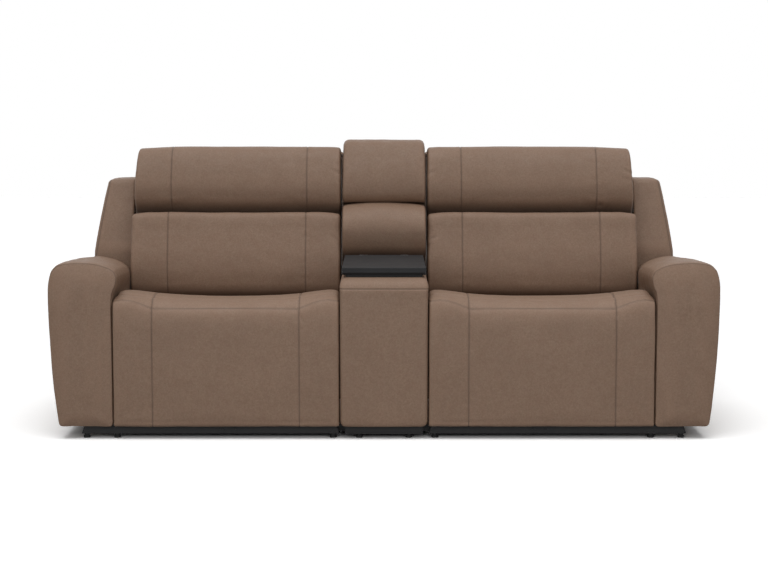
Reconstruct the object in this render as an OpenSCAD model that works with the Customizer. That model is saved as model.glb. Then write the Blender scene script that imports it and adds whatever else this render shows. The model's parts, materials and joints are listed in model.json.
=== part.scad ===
// Power reclining loveseat with a storage console between two seats.
// +X right, +Y rearward, +Z up, origin on the floor under the middle of the outline.
// Side outlines are drawn as (distance behind the front plane, height).

/* [Overall] */
// Depth from the front plane to the rear of the back
depth = 965; // [950:5:1000]
// Height of the floor glides
glide_h = 15; // [12:1:20]
// Height of the black base rails
rail_h = 29; // [25:1:34]
// Number of fastener heads on each front rail
rail_bolt_count = 2; // [2:1:4]

/* [Seats] */
// Width of one seat
seat_w = 765; // [640:5:860]
// Height of the seat crest between its raised sides
seat_h = 478; // [470:1:486]
// Extra height of the raised sides of the seat
lobe_h = 24; // [10:1:30]
// Width of each raised side, from the edge to its seam
side_panel_w = 132; // [100:1:170]
// Distance from the front plane to the bottom of the back rest
seat_depth = 556; // [540:1:560]

/* [Console] */
// Width of the console
console_w = 299; // [250:1:360]
// Height of the console body under its lid
console_h = 552; // [520:1:556]
// Thickness of the lid
lid_t = 25; // [18:1:27]
// Depth of the lid
lid_depth = 490; // [420:5:491]
// Height of the console head rest
console_top = 999; // [985:1:1030]
// Wall of the storage bin
bin_wall = 28; // [20:1:40]
// Depth of the storage bin below the lid
bin_depth = 220; // [150:5:300]

/* [Arms] */
// Width of an arm at its foot
arm_w = 186; // [165:1:210]
// Outward swell of an arm above its foot
arm_swell = 30; // [0:1:36]
// Height of an arm at the front
arm_h = 600; // [585:1:620]
// Drop of the arm top from front to rear
arm_drop = 34; // [20:1:44]
// Inward clearance that the arm opens towards the rear
arm_flare = 24; // [23:1:30]

/* [Back] */
// Height of the joint between lumbar pad and head rest
lumbar_top = 737; // [725:1:745]
// Height of the head rest
head_top = 974; // [960:1:990]
// Width of a back pad
back_pad_w = 776; // [640:1:777]
// Thickness of the wooden back posts
post_t = 28; // [22:1:34]
// Greatest lean of the back from its upright position, degrees
recline_angle = 35; // [20:1:35]

/* [Leg rest linkage] */
// Length of the drive arm between its pivots
drive_len = 215; // [213:1:217]
// Length of the lift arm between its pivots
lift_len = 220; // [218:1:222]
// Thickness of the pressed steel links
link_t = 5; // [4:0.5:5.5]
// Width of the links
link_w = 24; // [20:1:26]
// Diameter of the link rivets
rivet_d = 10; // [8:1:12]

/* [Drives] */
// Diameter of a drive motor
motor_d = 56; // [44:1:60]
// Diameter of the lead screws
screw_d = 12; // [10:1:14]
// Length of the cranks on the torque tubes
crank_len = 110; // [106:1:112]

/* [Hidden] */
$fn = 48;

leather = [0.45, 0.37, 0.32];
steel = [0.2, 0.2, 0.21];
bright = [0.7, 0.7, 0.72];
timber = [0.72, 0.58, 0.4];
plastic = [0.22, 0.22, 0.23];

// Clearances
soft_gap = 3.5;
seat_rest_gap = 0.4;
seam_draw = 5;
slide_gap = 0.5;
pin_gap = 0.08;
layer_gap = 1;
case_gap = 0.4;

// Heights of the base
rail_top = glide_h + rail_h;
soft_low = rail_top + 1;

// Unit across: console, gap, seat, gap, arm
seat_in = console_w / 2 + soft_gap;
seat_out = seat_in + seat_w;
unit_x = seat_in + seat_w / 2;
arm_in = seat_out + soft_gap + 0.5;
arm_low = arm_in + arm_w;
arm_out = arm_low + arm_swell;
arm_back_in = arm_in + arm_flare;

// Base
rail_front = 40;
rail_t = 24;
rail_slope = 10;
base_rear = 880;
panel_t = 12;
panel_top = 285;
channel_h = 31;
channel_t = 3;
channel_w = 24;
glide_d = 24;
glide_in = 21;
glide_out = 104;
glide_console = 85;
bolt_pitch = 44;
bolt_head_r = 7;
bolt_r = 4;

// Mechanism across one seat, measured from the middle of the seat
plate_in = seat_w / 2 - 64.5;
plate_out = plate_in + link_t;
layer_1 = plate_in - layer_gap - link_t;
layer_2 = layer_1 - layer_gap - link_t;
layer_3 = layer_2 - layer_gap - link_t;
channel_in = plate_out + 5;

// Leg rest pivots
drive_pivot = [300, 240];
rest_pivot = [105, 325];
guide_pivot = [465.4, 284.6];
guide_offset = [-10, -30];
stay_drive_offset = [20, 40];
stay_rest_offset = [25, 0];
guide_play = 0.9;
stay_play = 2.3;
tube_r = 10;
torque_tube_offset = 76;

// Elbow between the drive arm and the lift arm with the leg rest stored
reach = norm(rest_pivot - drive_pivot);
elbow_angle = atan2(rest_pivot[1] - drive_pivot[1], rest_pivot[0] - drive_pivot[0])
    + acos((drive_len * drive_len + reach * reach - lift_len * lift_len)
        / (2 * drive_len * reach));
elbow = drive_pivot + drive_len * [cos(elbow_angle), sin(elbow_angle)];
drive_dir = (elbow - drive_pivot) / drive_len;
lift_dir = (rest_pivot - elbow) / lift_len;
function left_of(v) = [-v[1], v[0]];
guide_end = elbow + guide_offset[0] * lift_dir + guide_offset[1] * left_of(lift_dir);
stay_start = elbow - stay_drive_offset[0] * drive_dir + stay_drive_offset[1] * left_of(drive_dir);
stay_end = rest_pivot + stay_rest_offset;
torque_tube = drive_pivot + torque_tube_offset * left_of(drive_dir);

// Seat and back
recline_pivot = [690, 330];
deck_low = 345;
deck_t = 27;
deck_top = deck_low + deck_t;
deck_front = 150;
deck_rear = 625;
deck_rail = 46;
spring_t = 4;
spring_count = 5;
spring_turns = 6;
cushion_low = deck_top + spring_t + seat_rest_gap;
pad_t = 68;
pad_board_t = 80;
cushion_front = pad_t + 4;
legrest_seam = seat_h - 30;
back_in = seat_in + 8;
back_out = back_in + back_pad_w;
back_mid = (back_in + back_out) / 2;
back_side_panel = side_panel_w - 4;
lumbar_low = 420;
shell_low = 300;
shell_top = 950;
shell_t = 18;
rear_lean = (depth - base_rear) / (shell_top - shell_low);
back_slope = rear_lean + 0.13;
frame_lean = rear_lean + 0.042;
head_slope = back_slope + 0.14;
post_gap = 4;
face_low_z = 430;
face_gap = 4;
ear_t = 5;
ear_x = 250;
ear_gap = 2;
head_swing_r = 36;
head_play = 1;
head_rise = 8;
head_reach = 22;
head_pivot = [face_d(lumbar_top + head_rise) + head_swing_r + head_reach, lumbar_top + head_rise];
head_board_t = 12;
head_board_low = head_pivot[1] + 17;
head_board_d = 64;
arm_rear_top = 406;
arm_step = recline_pivot[0];
wing_gap = 17;
wing_lift = 62;
wing_in = arm_back_in - 1;
wing_low = arm_rear_top + wing_lift;
wing_top = 855;
tie_low = 700;
tie_top = 840;
cheek_low = 400;
cheek_top = 690;

// Drives, placed from the middle of the seat
legrest_drive_x = -65;
recline_drive_x = 65;
crank_t = 8;
nut_slot = 12;
crank_pin_r = 5;
drive_turn = 46.12;
drive_drop = 32;
nut_margin = 26;
gear_len = 44;
motor_len = 84;
tube_back = gear_len + 8 + tube_r;
crank_recline = recline_pivot
    + crank_len * [cos(270 + recline_angle / 2), sin(270 + recline_angle / 2)];
crank_legrest = drive_pivot
    + crank_len * [cos(270 + drive_turn / 2), sin(270 + drive_turn / 2)];
recline_travel = 2 * crank_len * sin(recline_angle / 2);
legrest_travel = 2 * crank_len * sin(drive_turn / 2);
legrest_screw_z = drive_pivot[1] - crank_len - drive_drop;
recline_screw_z = recline_pivot[1] - crank_len - drive_drop;

// Helper geometry

// Places a right hand part, or its mirror image for the left seat
module unit(side) {
    translate([0, -depth / 2, 0])
        mirror([side < 0 ? 1 : 0, 0, 0])
            children();
}

// Moves a part from the middle of the object to the middle of a seat
module at_seat() {
    translate([unit_x, 0, 0])
        children();
}

// Places a part that stands in the middle of the object
module middle() {
    translate([0, -depth / 2, 0])
        children();
}

module both_sides() {
    children();
    mirror([1, 0, 0])
        children();
}

// Extrudes a side outline across from x0 to x1
module slab(x0, x1) {
    translate([x0, 0, 0])
        rotate([90, 0, 90])
            linear_extrude(x1 - x0)
                children();
}

// Round bar across from x0 to x1 at a point of the side view
module bar(x0, x1, p, r) {
    translate([x0, p[0], p[1]])
        rotate([0, 90, 0])
            cylinder(h = x1 - x0, r = r);
}

// Round bar rearward from d0 to d1
module rod(x, z, d0, d1, r) {
    translate([x, d0, z])
        rotate([-90, 0, 0])
            cylinder(h = d1 - d0, r = r);
}

module block(low, high) {
    translate(low)
        cube(high - low);
}

function cross2(a, b) = a[0] * b[1] - a[1] * b[0];
function turned(v, a) = [v[0] * cos(a) - v[1] * sin(a), v[0] * sin(a) + v[1] * cos(a)];
function flat(p) = [p[0], p[1]];
function fillet(a, b, c, r) = r <= 0 ? [b] : let (
    u = (a - b) / norm(a - b),
    w = (c - b) / norm(c - b),
    half = acos(u * w) / 2,
    s = b + u * r / tan(half),
    o = b + (u + w) / norm(u + w) * r / sin(half),
    sweep = (180 - 2 * half) * (cross2(u, w) > 0 ? -1 : 1)
) [for (i = [0:5]) o + turned(s - o, sweep * i / 5)];
// Outline with rounded corners, each point given as [x, y, radius]
function rounded(p) = let (n = len(p)) [
    for (i = [0:n - 1])
        each fillet(flat(p[(i + n - 1) % n]), flat(p[i]), flat(p[(i + 1) % n]), p[i][2])
];

// Flat link with round ends between two points of the side view
module link_shape(a, b, w) {
    v = (b - a) / norm(b - a);
    n = left_of(v) * w / 2;
    translate(a)
        circle(d = w);
    translate(b)
        circle(d = w);
    polygon([a + n, a - n, b - n, b + n]);
}

// Stations across one upholstered panel, each as [x, draw]
function panel_stations(x0, x1, crown) = [
    for (f = [0.07, 0.25, 0.5, 0.75, 0.93])
        [x0 + (x1 - x0) * f, crown * pow(2 * f - 1, 2)]
];
// Stations across a pad with seams between its panels, each as [x, draw, lift].
// The lift rises from the middle of the pad to its ends.
function pad_stations(x0, x1, seams, crown, edge, lift) = let (
    cuts = concat([x0], seams, [x1]),
    last = len(cuts) - 1,
    drawn = [
        for (i = [0:last]) each concat(
            [[cuts[i], i == 0 || i == last ? edge : crown + seam_draw]],
            i == last ? [] : panel_stations(cuts[i], cuts[i + 1], crown)
        )
    ]
) [for (s = drawn) [s[0], s[1], lift * pow(abs(2 * (s[0] - x0) / (x1 - x0) - 1), 2.2)]];

// Closed upholstered form: an outline carried across all stations and drawn towards
// its middle. Points above lift_from rise with the lift of their station.
module soft_form(outline, stations, middle, lift_from) {
    n = len(outline);
    m = len(stations);
    points = concat(
        [for (s = stations, p = outline) let (
            v = p - middle,
            q = p - v / norm(v) * s[1],
            k = max(0, min(1, (p[1] - lift_from) / 25))
        ) [s[0], q[0], q[1] + s[2] * k]],
        [[stations[0][0], middle[0], middle[1]], [stations[m - 1][0], middle[0], middle[1]]]
    );
    walls = [for (i = [0:m - 2], j = [0:n - 1]) let (
        a = i * n + j,
        b = i * n + (j + 1) % n
    ) each [[a, a + n, b], [b, a + n, b + n]]];
    caps = [for (j = [0:n - 1]) each [
        [m * n, j, (j + 1) % n],
        [m * n + 1, (m - 1) * n + (j + 1) % n, (m - 1) * n + j]
    ]];
    polyhedron(points, concat(walls, caps));
}

// Front surface of the lumbar pad and head rest at a height
function face_d(z) = seat_depth + face_gap + (z - face_low_z) * back_slope;
// Front surface of the wooden back posts at a height
function post_d(z) = recline_pivot[0] + post_gap + (z - lumbar_low) * frame_lean;
// Rear surface of the outside back at a height
function rear_d(z) = base_rear + (z - shell_low) * rear_lean;
// Rear surface of the head rest pad at a height
function head_back(z) = head_pivot[0] + head_board_d + (z - head_board_low) * head_slope;

// Arm

arm_swell_z = 497;
arm_corner = [30, 51];
arm_top_rise = 17;
arm_peak = 0.45;
arm_inner = [34, 46];
arm_inner_rise = 8;
arm_over = 60;
arm_slope = asin(arm_drop / arm_step);
function arm_side_x(z) = arm_out - arm_swell * pow((arm_swell_z - z) / (arm_swell_z - rail_top), 2);
arm_front_outline = concat(
    [[arm_in, rail_top - arm_over], [arm_low, rail_top - arm_over], [arm_low, rail_top]],
    [for (i = [1:6]) let (z = rail_top + (arm_swell_z - rail_top) * i / 6) [arm_side_x(z), z]],
    [for (a = [0:15:90]) [
        arm_out - arm_corner[0] * (1 - cos(a)),
        arm_h - arm_top_rise - arm_corner[1] * (1 - sin(a))]],
    [for (f = [0.2:0.2:0.8]) [
        arm_out - arm_corner[0] - (arm_out - arm_corner[0] - arm_in - arm_inner[0]) * f,
        arm_h - arm_top_rise * pow(max(0, 1 - f / arm_peak), 2)
            - arm_inner_rise * pow(max(0, (f - arm_peak) / (1 - arm_peak)), 2)]],
    [for (a = [0:18:90]) [
        arm_in + arm_inner[0] * (1 - sin(a)),
        arm_h - arm_inner_rise - arm_inner[1] * (1 - cos(a))]]
);
arm_frame_in = arm_back_in + 26;
arm_frame_out = arm_low - 26;
arm_frame_top = arm_h - arm_drop - 60;
arm_frame_front = 40;
arm_frame_rear = arm_step - 30;
arm_frame_mid = 340;
arm_board_t = 22;
switch_d = 340;
switch_z = 450;
switch_w = 96;
switch_h = 60;
switch_t = 4;
rocker_w = 22;
rocker_h = 36;
rocker_pitch = 40;
rocker_pocket = 24;

module arm_side_outline() {
    polygon(rounded([
        [0, rail_top, 0], [base_rear, rail_top, 0], [base_rear, arm_rear_top, 14],
        [arm_step + 12, arm_rear_top, 10], [arm_step, arm_h - arm_drop, 0],
        [arm_step, arm_h + 2, 0], [14, arm_h + 2, 0], [0, arm_h - 12, 0]
    ]));
}

module arm_plan_outline() {
    polygon(rounded([
        [arm_in, 0, 10], [arm_out + 1, 0, 12], [arm_out + 1, base_rear, 16],
        [arm_back_in, base_rear, 6], [arm_back_in, seat_depth, 0]
    ]));
}

module arm_cover() {
    color(leather)
        difference() {
            intersection() {
                translate([0, 0, arm_h])
                    rotate([-arm_slope, 0, 0])
                        translate([0, -arm_over, -arm_h])
                            rotate([90, 0, 0])
                                mirror([0, 0, 1])
                                    linear_extrude(base_rear + 2 * arm_over)
                                        polygon(arm_front_outline);
                slab(0, arm_out + 10)
                    arm_side_outline();
                linear_extrude(arm_h + 10)
                    arm_plan_outline();
            }
            block([arm_frame_in - case_gap, arm_frame_front - case_gap, 0],
                [arm_frame_out + case_gap, arm_frame_rear + case_gap, arm_frame_top + case_gap]);
            block([arm_out - 1 - switch_t, switch_d - switch_w / 2 - case_gap,
                    switch_z - switch_h / 2 - case_gap],
                [arm_out + 10, switch_d + switch_w / 2 + case_gap,
                    switch_z + switch_h / 2 + case_gap]);
            block([arm_out - 1 - switch_t - rocker_pocket, switch_d - switch_w / 2 + 6,
                    switch_z - switch_h / 2 + 6],
                [arm_out, switch_d + switch_w / 2 - 6, switch_z + switch_h / 2 - 6]);
        }
}

// Timber box frame that carries the arm
module arm_frame() {
    t = arm_board_t;
    color(timber)
        difference() {
            block([arm_frame_in, arm_frame_front, rail_top],
                [arm_frame_out, arm_frame_rear, arm_frame_top]);
            for (w = [[arm_frame_front + t, arm_frame_mid], [arm_frame_mid + t, arm_frame_rear - t]])
                slab(arm_frame_in - 1, arm_frame_out + 1)
                    polygon(rounded([
                        [w[0], rail_top + t, 8], [w[1], rail_top + t, 8],
                        [w[1], arm_frame_top - t, 8], [w[0], arm_frame_top - t, 8]]));
            block([arm_frame_in + t, arm_frame_front + t, rail_top - 1],
                [arm_frame_out - t, arm_frame_rear - t, arm_frame_top + 1]);
        }
}

// Control plate in the outside of the arm, with bearings for two rockers
module switch_plate() {
    x = arm_out - 1 - switch_t;
    color(plastic)
        difference() {
            union() {
                slab(x, x + switch_t)
                    polygon(rounded([
                        [switch_d - switch_w / 2, switch_z - switch_h / 2, 8],
                        [switch_d + switch_w / 2, switch_z - switch_h / 2, 8],
                        [switch_d + switch_w / 2, switch_z + switch_h / 2, 8],
                        [switch_d - switch_w / 2, switch_z + switch_h / 2, 8]]));
                block([x - 16, switch_d - 37, switch_z - 22], [x, switch_d + 37, switch_z + 22]);
            }
            for (s = [-1, 1])
                translate([0, switch_d + s * rocker_pitch / 2, switch_z])
                    block([x - 20, -rocker_w / 2 - 0.6, -rocker_h / 2 - 0.6],
                        [arm_out, rocker_w / 2 + 0.6, rocker_h / 2 + 0.6]);
            rod(x - 6, switch_z, switch_d - 45, switch_d + 45, 2 + pin_gap);
        }
}

// Rocker with a dished face and two trunnions
module rocker(s) {
    x = arm_out - 1 - switch_t;
    color([0.3, 0.3, 0.31])
        translate([0, switch_d + s * rocker_pitch / 2, switch_z]) {
            difference() {
                translate([0, rocker_w / 2, 0])
                    rotate([90, 0, 0])
                        linear_extrude(rocker_w)
                            polygon([
                                [x - 12, -6], [x - 2, -rocker_h / 2], [x + 3, -rocker_h / 2 + 1],
                                [x + 3, rocker_h / 2 - 1], [x - 2, rocker_h / 2], [x - 12, 6]]);
                rod(x + 41.5, 0, -rocker_w, rocker_w, 40);
            }
            rod(x - 6, 0, -rocker_w / 2 - 3, rocker_w / 2 + 3, 2);
        }
}

// Base

module base_frame() {
    x_in = seat_in;
    x_out = arm_low - 73;
    color(steel)
        union() {
            difference() {
                for (d = [rail_front, base_rear - panel_t - rail_t])
                    translate([0, d + rail_t, 0])
                        rotate([90, 0, 0])
                            linear_extrude(rail_t)
                                polygon([[x_in, glide_h], [x_out, glide_h],
                                    [x_out - rail_slope, rail_top],
                                    [x_in + rail_slope, rail_top]]);
                for (i = [0:rail_bolt_count - 1])
                    rod(unit_x + (i - (rail_bolt_count - 1) / 2) * bolt_pitch, glide_h + 12,
                        rail_front - 1, rail_front + rail_t + 1, bolt_r + pin_gap);
            }
            at_seat()
                both_sides()
                    slide_channel();
            block([x_in + rail_slope, base_rear - panel_t, glide_h],
                [arm_back_in - 3, base_rear, panel_top]);
        }
}

// Channel that the seat carriage runs in, open towards the middle of the seat,
// on a side bar that joins the front and rear rails
module slide_channel() {
    front = pad_board_t + 10;
    rear = base_rear - panel_t;
    difference() {
        block([channel_in, front, rail_top - 1],
            [channel_in + channel_w, rear, rail_top + channel_h]);
        block([channel_in - 1, front - 1, rail_top + channel_t],
            [channel_in + channel_w - channel_t, rear - channel_t, rail_top + channel_h - channel_t]);
    }
    block([channel_in, rail_front + rail_t - 1, rail_top - 10],
        [channel_in + channel_w, rear - rail_t + 1, rail_top]);
}

// Round glides under the rails and the console
module glides() {
    color(steel)
        for (d = [rail_front + rail_t / 2, base_rear - panel_t - rail_t / 2])
            for (x = [seat_in + glide_in, seat_out - 4, seat_out - 4 + glide_out,
                glide_console])
                for (s = [-1, 1])
                    translate([s * x, d - depth / 2, 0])
                        union() {
                            cylinder(h = glide_h, d = glide_d - 6);
                            cylinder(h = glide_h / 2, d = glide_d);
                        }
}

module rail_bolts() {
    color(bright)
        middle()
            for (s = [-1, 1])
                for (i = [0:rail_bolt_count - 1])
                    translate([s * (unit_x + (i - (rail_bolt_count - 1) / 2) * bolt_pitch), 0, 0])
                        union() {
                            rod(0, glide_h + 12, rail_front - 5, rail_front, bolt_head_r);
                            rod(0, glide_h + 12, rail_front - 5,
                                rail_front + rail_t + 10, bolt_r);
                        }
}

// Seat carriage

plate_front = 196;
plate_rear = 725;
plate_low = rail_top + 6;
slider_z = rail_top + channel_h / 2;
slider_h = channel_h - 2 * channel_t - 2 * slide_gap;
cross_tubes = [
    [crank_legrest[0] + nut_margin + tube_back, legrest_screw_z],
    [crank_recline[0] - recline_travel - nut_margin - tube_back, recline_screw_z]
];
window_low = cross_tubes[0][1] + 22;

module plate_outline() {
    difference() {
        polygon(rounded([
            [plate_front, plate_low, 10], [plate_rear - 20, plate_low, 20],
            [plate_rear, plate_low + 80, 20], [plate_rear, deck_low, 14],
            [deck_front, deck_low, 4], [deck_front, deck_low - 18, 4],
            [plate_front + 20, 250, 30], [plate_front, 130, 20]
        ]));
        translate(drive_pivot)
            circle(r = tube_r + pin_gap);
        translate(recline_pivot)
            circle(r = tube_r + pin_gap);
        for (w = [[225, 295, 200], [350, 430, 240], [465, cross_tubes[1][0] - 22, 240],
            [cross_tubes[1][0] + 22, 645, 300]])
            polygon(rounded([[w[0], window_low, 14], [w[1], window_low, 14],
                [w[1], w[2], 14], [w[0], w[2], 14]]));
    }
}

// Two steel side plates on sliders, joined by cross tubes, with the guide link pins
module carriage() {
    color(steel)
        at_seat()
            union() {
                both_sides() {
                    slab(plate_in, plate_out)
                        plate_outline();
                    for (d = [plate_front + 14, plate_rear - 90])
                        block([plate_in, d, slider_z - slider_h / 2],
                            [channel_in + channel_w - channel_t - slide_gap, d + 60,
                                slider_z + slider_h / 2]);
                    bar(layer_3, plate_in, guide_pivot, rivet_d / 2);
                    bar(layer_3 + link_t + layer_gap / 2, plate_in, guide_pivot, rivet_d / 2 + 4);
                }
                for (p = cross_tubes)
                    bar(-plate_in, plate_in, p, tube_r);
            }
}

module seat_deck() {
    w = seat_w / 2 - 30;
    color(timber)
        at_seat()
            difference() {
                block([-w, deck_front, deck_low], [w, deck_rear, deck_top]);
                block([-w + deck_rail, deck_front + deck_rail / 2, deck_low - 1],
                    [w - deck_rail, deck_rear - deck_rail / 2, deck_top + 1]);
            }
}

// Zigzag spring wires from the front rail to the rear rail
module seat_springs() {
    span = deck_rear - deck_front - 16;
    pitch = span / (2 * spring_turns);
    reach_x = 22;
    color(bright)
        at_seat()
            for (k = [0:spring_count - 1])
                translate([(k - (spring_count - 1) / 2) * (seat_w - 200) / (spring_count - 1),
                        deck_front + 8, deck_top])
                    linear_extrude(spring_t)
                        for (i = [0:2 * spring_turns - 1])
                            translate([0, i * pitch])
                                spring_bend(pitch, reach_x * (i % 2 == 0 ? 1 : -1));
}

// Half a wave of the spring wire: two straight runs and a round end
module spring_bend(pitch, reach_x) {
    s = reach_x > 0 ? 1 : -1;
    e = reach_x - s * pitch / 2;
    for (y = [0, pitch])
        translate([min(0, e), y - spring_t / 2])
            square([abs(e), spring_t]);
    translate([e, pitch / 2])
        intersection() {
            difference() {
                circle(r = pitch / 2 + spring_t / 2);
                circle(r = pitch / 2 - spring_t / 2);
            }
            translate([s > 0 ? 0 : -pitch, -pitch])
                square([pitch, 2 * pitch]);
        }
}

module seat_cushion() {
    low = cushion_low;
    top = seat_h;
    color(leather)
        soft_form([
            [deck_front - 6, low], [cushion_front + 30, low + 8], [cushion_front + 4, low + 24],
            [cushion_front, low + 46], [cushion_front + 2, top - 22], [cushion_front + 18, top - 8],
            [cushion_front + 62, top], [cushion_front + 130, top - 2], [300, top - 12],
            [420, top - 28], [520, top - 47], [seat_depth + 24, lumbar_low - 14],
            [seat_depth + 64, low + 24], [seat_depth + 72, low + 12], [deck_rear + 6, low],
            [400, low]
        ], pad_stations(seat_in, seat_out,
            [seat_in + side_panel_w, seat_out - side_panel_w], 4, 16, lobe_h),
            [(deck_front + deck_rear) / 2 - 58, (low + top) / 2 - 6], (low + top) / 2);
}

// Leg rest linkage

// Drive arms on their pivot stubs, joined by a torque tube that lies clear of the
// guide links, with the crank that the nut pushes
module drive_arms() {
    color(steel)
        at_seat()
            union() {
                both_sides() {
                    slab(layer_1, layer_1 + link_t)
                        difference() {
                            union() {
                                link_shape(drive_pivot, elbow, link_w);
                                link_shape(elbow, stay_start, link_w);
                                link_shape(drive_pivot, stay_start, link_w);
                                link_shape(drive_pivot, torque_tube, link_w + 4);
                            }
                            polygon([
                                drive_pivot + 0.38 * (elbow - drive_pivot) + [0, -14],
                                drive_pivot + 0.74 * (elbow - drive_pivot) + [10, -14],
                                drive_pivot + 0.72 * (stay_start - drive_pivot) + [-10, 12]]);
                        }
                    bar(layer_2, layer_1, elbow, rivet_d / 2);
                    bar(layer_1 + link_t, plate_out, stay_start, rivet_d / 2);
                    bar(layer_1, plate_out + 3, drive_pivot, tube_r);
                }
                bar(-layer_1 - link_t, layer_1 + link_t, torque_tube, tube_r);
                translate([legrest_drive_x, 0, 0])
                    crank(torque_tube, crank_legrest);
            }
}

// Crank plate on a torque tube, with its cross pin
module crank(pivot, pin) {
    slab(-crank_t / 2, crank_t / 2)
        union() {
            translate(pivot)
                circle(r = tube_r + 9);
            link_shape(pivot, pin, 20);
        }
    bar(-17, 17, pin, crank_pin_r);
}

module lift_arms() {
    color(steel)
        at_seat()
            both_sides() {
                slab(layer_2, layer_2 + link_t)
                    difference() {
                        union() {
                            link_shape(elbow, rest_pivot, link_w);
                            link_shape(elbow, guide_end, link_w);
                            link_shape(guide_end, elbow + 0.4 * (rest_pivot - elbow), link_w / 2);
                        }
                        for (p = [elbow, rest_pivot])
                            translate(p)
                                circle(r = rivet_d / 2 + pin_gap);
                    }
                bar(layer_3, layer_2, guide_end, rivet_d / 2 - 1);
            }
}

module guide_links() {
    color(steel)
        at_seat()
            both_sides()
                slab(layer_3, layer_3 + link_t)
                    difference() {
                        link_shape(guide_pivot, guide_end, link_w);
                        translate(guide_pivot)
                            circle(r = rivet_d / 2 + pin_gap);
                        translate(guide_end)
                            circle(r = rivet_d / 2 - 1 + guide_play);
                    }
}

module stay_links() {
    color(steel)
        at_seat()
            both_sides()
                slab(plate_in, plate_out)
                    difference() {
                        link_shape(stay_start, stay_end, link_w - 2);
                        translate(stay_start)
                            circle(r = rivet_d / 2 + pin_gap);
                        translate(stay_end)
                            circle(r = rivet_d / 2 - 1 + stay_play);
                    }
}

// Pressed brackets on the back of the leg rest, joined by two cross rails
module legrest_bracket() {
    flange_d = pad_board_t + 0.2;
    color(steel)
        at_seat()
            union() {
                both_sides() {
                    slab(layer_1, layer_1 + link_t)
                        union() {
                            link_shape(rest_pivot, stay_end, link_w);
                            polygon([[flange_d, rest_pivot[1] - 70],
                                rest_pivot + [8, -link_w / 2], rest_pivot + [0, link_w / 2],
                                [flange_d, rest_pivot[1] + 20]]);
                        }
                    block([layer_1 - 26, flange_d, rest_pivot[1] - 70],
                        [layer_1 + link_t, flange_d + 4, rest_pivot[1] + 20]);
                    bar(layer_2, layer_1, rest_pivot, rivet_d / 2);
                    bar(layer_1 + link_t, plate_out, stay_end, rivet_d / 2 - 1);
                }
                for (z = [rest_pivot[1] - 66, rest_pivot[1] - 6])
                    block([-layer_1 + 26, flange_d, z], [layer_1 - 26, flange_d + 3, z + 22]);
            }
}

module legrest_pad() {
    rest_mid = 200;
    color(leather)
        soft_form([
            [12, soft_low], [3, soft_low + 14], [0.5, soft_low + 80], [0, rest_mid],
            [0.5, legrest_seam - 118],
            [3, legrest_seam - 36], [10, legrest_seam - 10], [18, legrest_seam],
            [42, legrest_seam + 12], [pad_t - 8, legrest_seam + 18], [pad_t, legrest_seam + 10],
            [pad_t, legrest_seam - 60], [pad_board_t - 3, legrest_seam - 82],
            [pad_board_t, legrest_seam - 98], [pad_board_t, rest_mid - 100],
            [pad_board_t - 6, soft_low + 10], [pad_board_t - 14, soft_low + 1]
        ], pad_stations(seat_in, seat_out,
            [seat_in + side_panel_w, seat_out - side_panel_w], 3, 12, lobe_h),
            [pad_board_t / 2, (soft_low + legrest_seam) / 2], legrest_seam - 38);
}

// Drives

// Motor, gear housing, rail and lead screw of one drive, clamped on its cross tube.
// The rail runs from the gear housing towards the front, or the rear when turned.
module linear_drive(x, screw_z, start, run, turned) {
    color(bright)
        at_seat()
            translate([x, start, screw_z])
                mirror([0, turned ? 1 : 0, 0])
                    difference() {
                        union() {
                            rod(0, 0, -run, 1, screw_d / 2);
                            difference() {
                                block([-22, -run, -20], [22, 1, 4]);
                                block([-19, -run + 6, -14], [19, -0.5, 10]);
                            }
                            block([-26, 0, -24], [26, gear_len, 24]);
                            block([-14, gear_len - 1, -13], [14, tube_back, 13]);
                            translate([x < 0 ? 0 : -motor_len - 26, 0, 0])
                                bar(26 - 1, 26 + motor_len - (x < 0 ? 0 : 25),
                                    [gear_len / 2, 0], motor_d / 2);
                        }
                        bar(-15, 15, [tube_back, 0], tube_r + pin_gap);
                    }
}

// Plastic nut that rides on the screw, with slotted cheeks for the crank pin
module drive_nut(x, screw_z, pin) {
    color(plastic)
        at_seat()
            translate([x, 0, 0])
                difference() {
                    union() {
                        block([-16, pin[0] - 18, screw_z - 11], [16, pin[0] + 18, screw_z + 15]);
                        block([-15, pin[0] - 14, screw_z + 14], [15, pin[0] + 14, pin[1] + 16]);
                    }
                    rod(0, screw_z, pin[0] - 30, pin[0] + 30, screw_d / 2 + pin_gap);
                    block([-crank_t / 2 - 1, pin[0] - 30, screw_z + 15],
                        [crank_t / 2 + 1, pin[0] + 30, pin[1] + 40]);
                    block([-30, pin[0] - nut_slot / 2, pin[1] - 18],
                        [30, pin[0] + nut_slot / 2, pin[1] + 8]);
                }
}

// Back

// Outline of the back posts between two heights
function post_outline(z0, z1) = [
    [post_d(z0), z0], [post_d(z0) + post_t, z0], [post_d(z1) + post_t, z1], [post_d(z1), z1]
];

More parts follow.
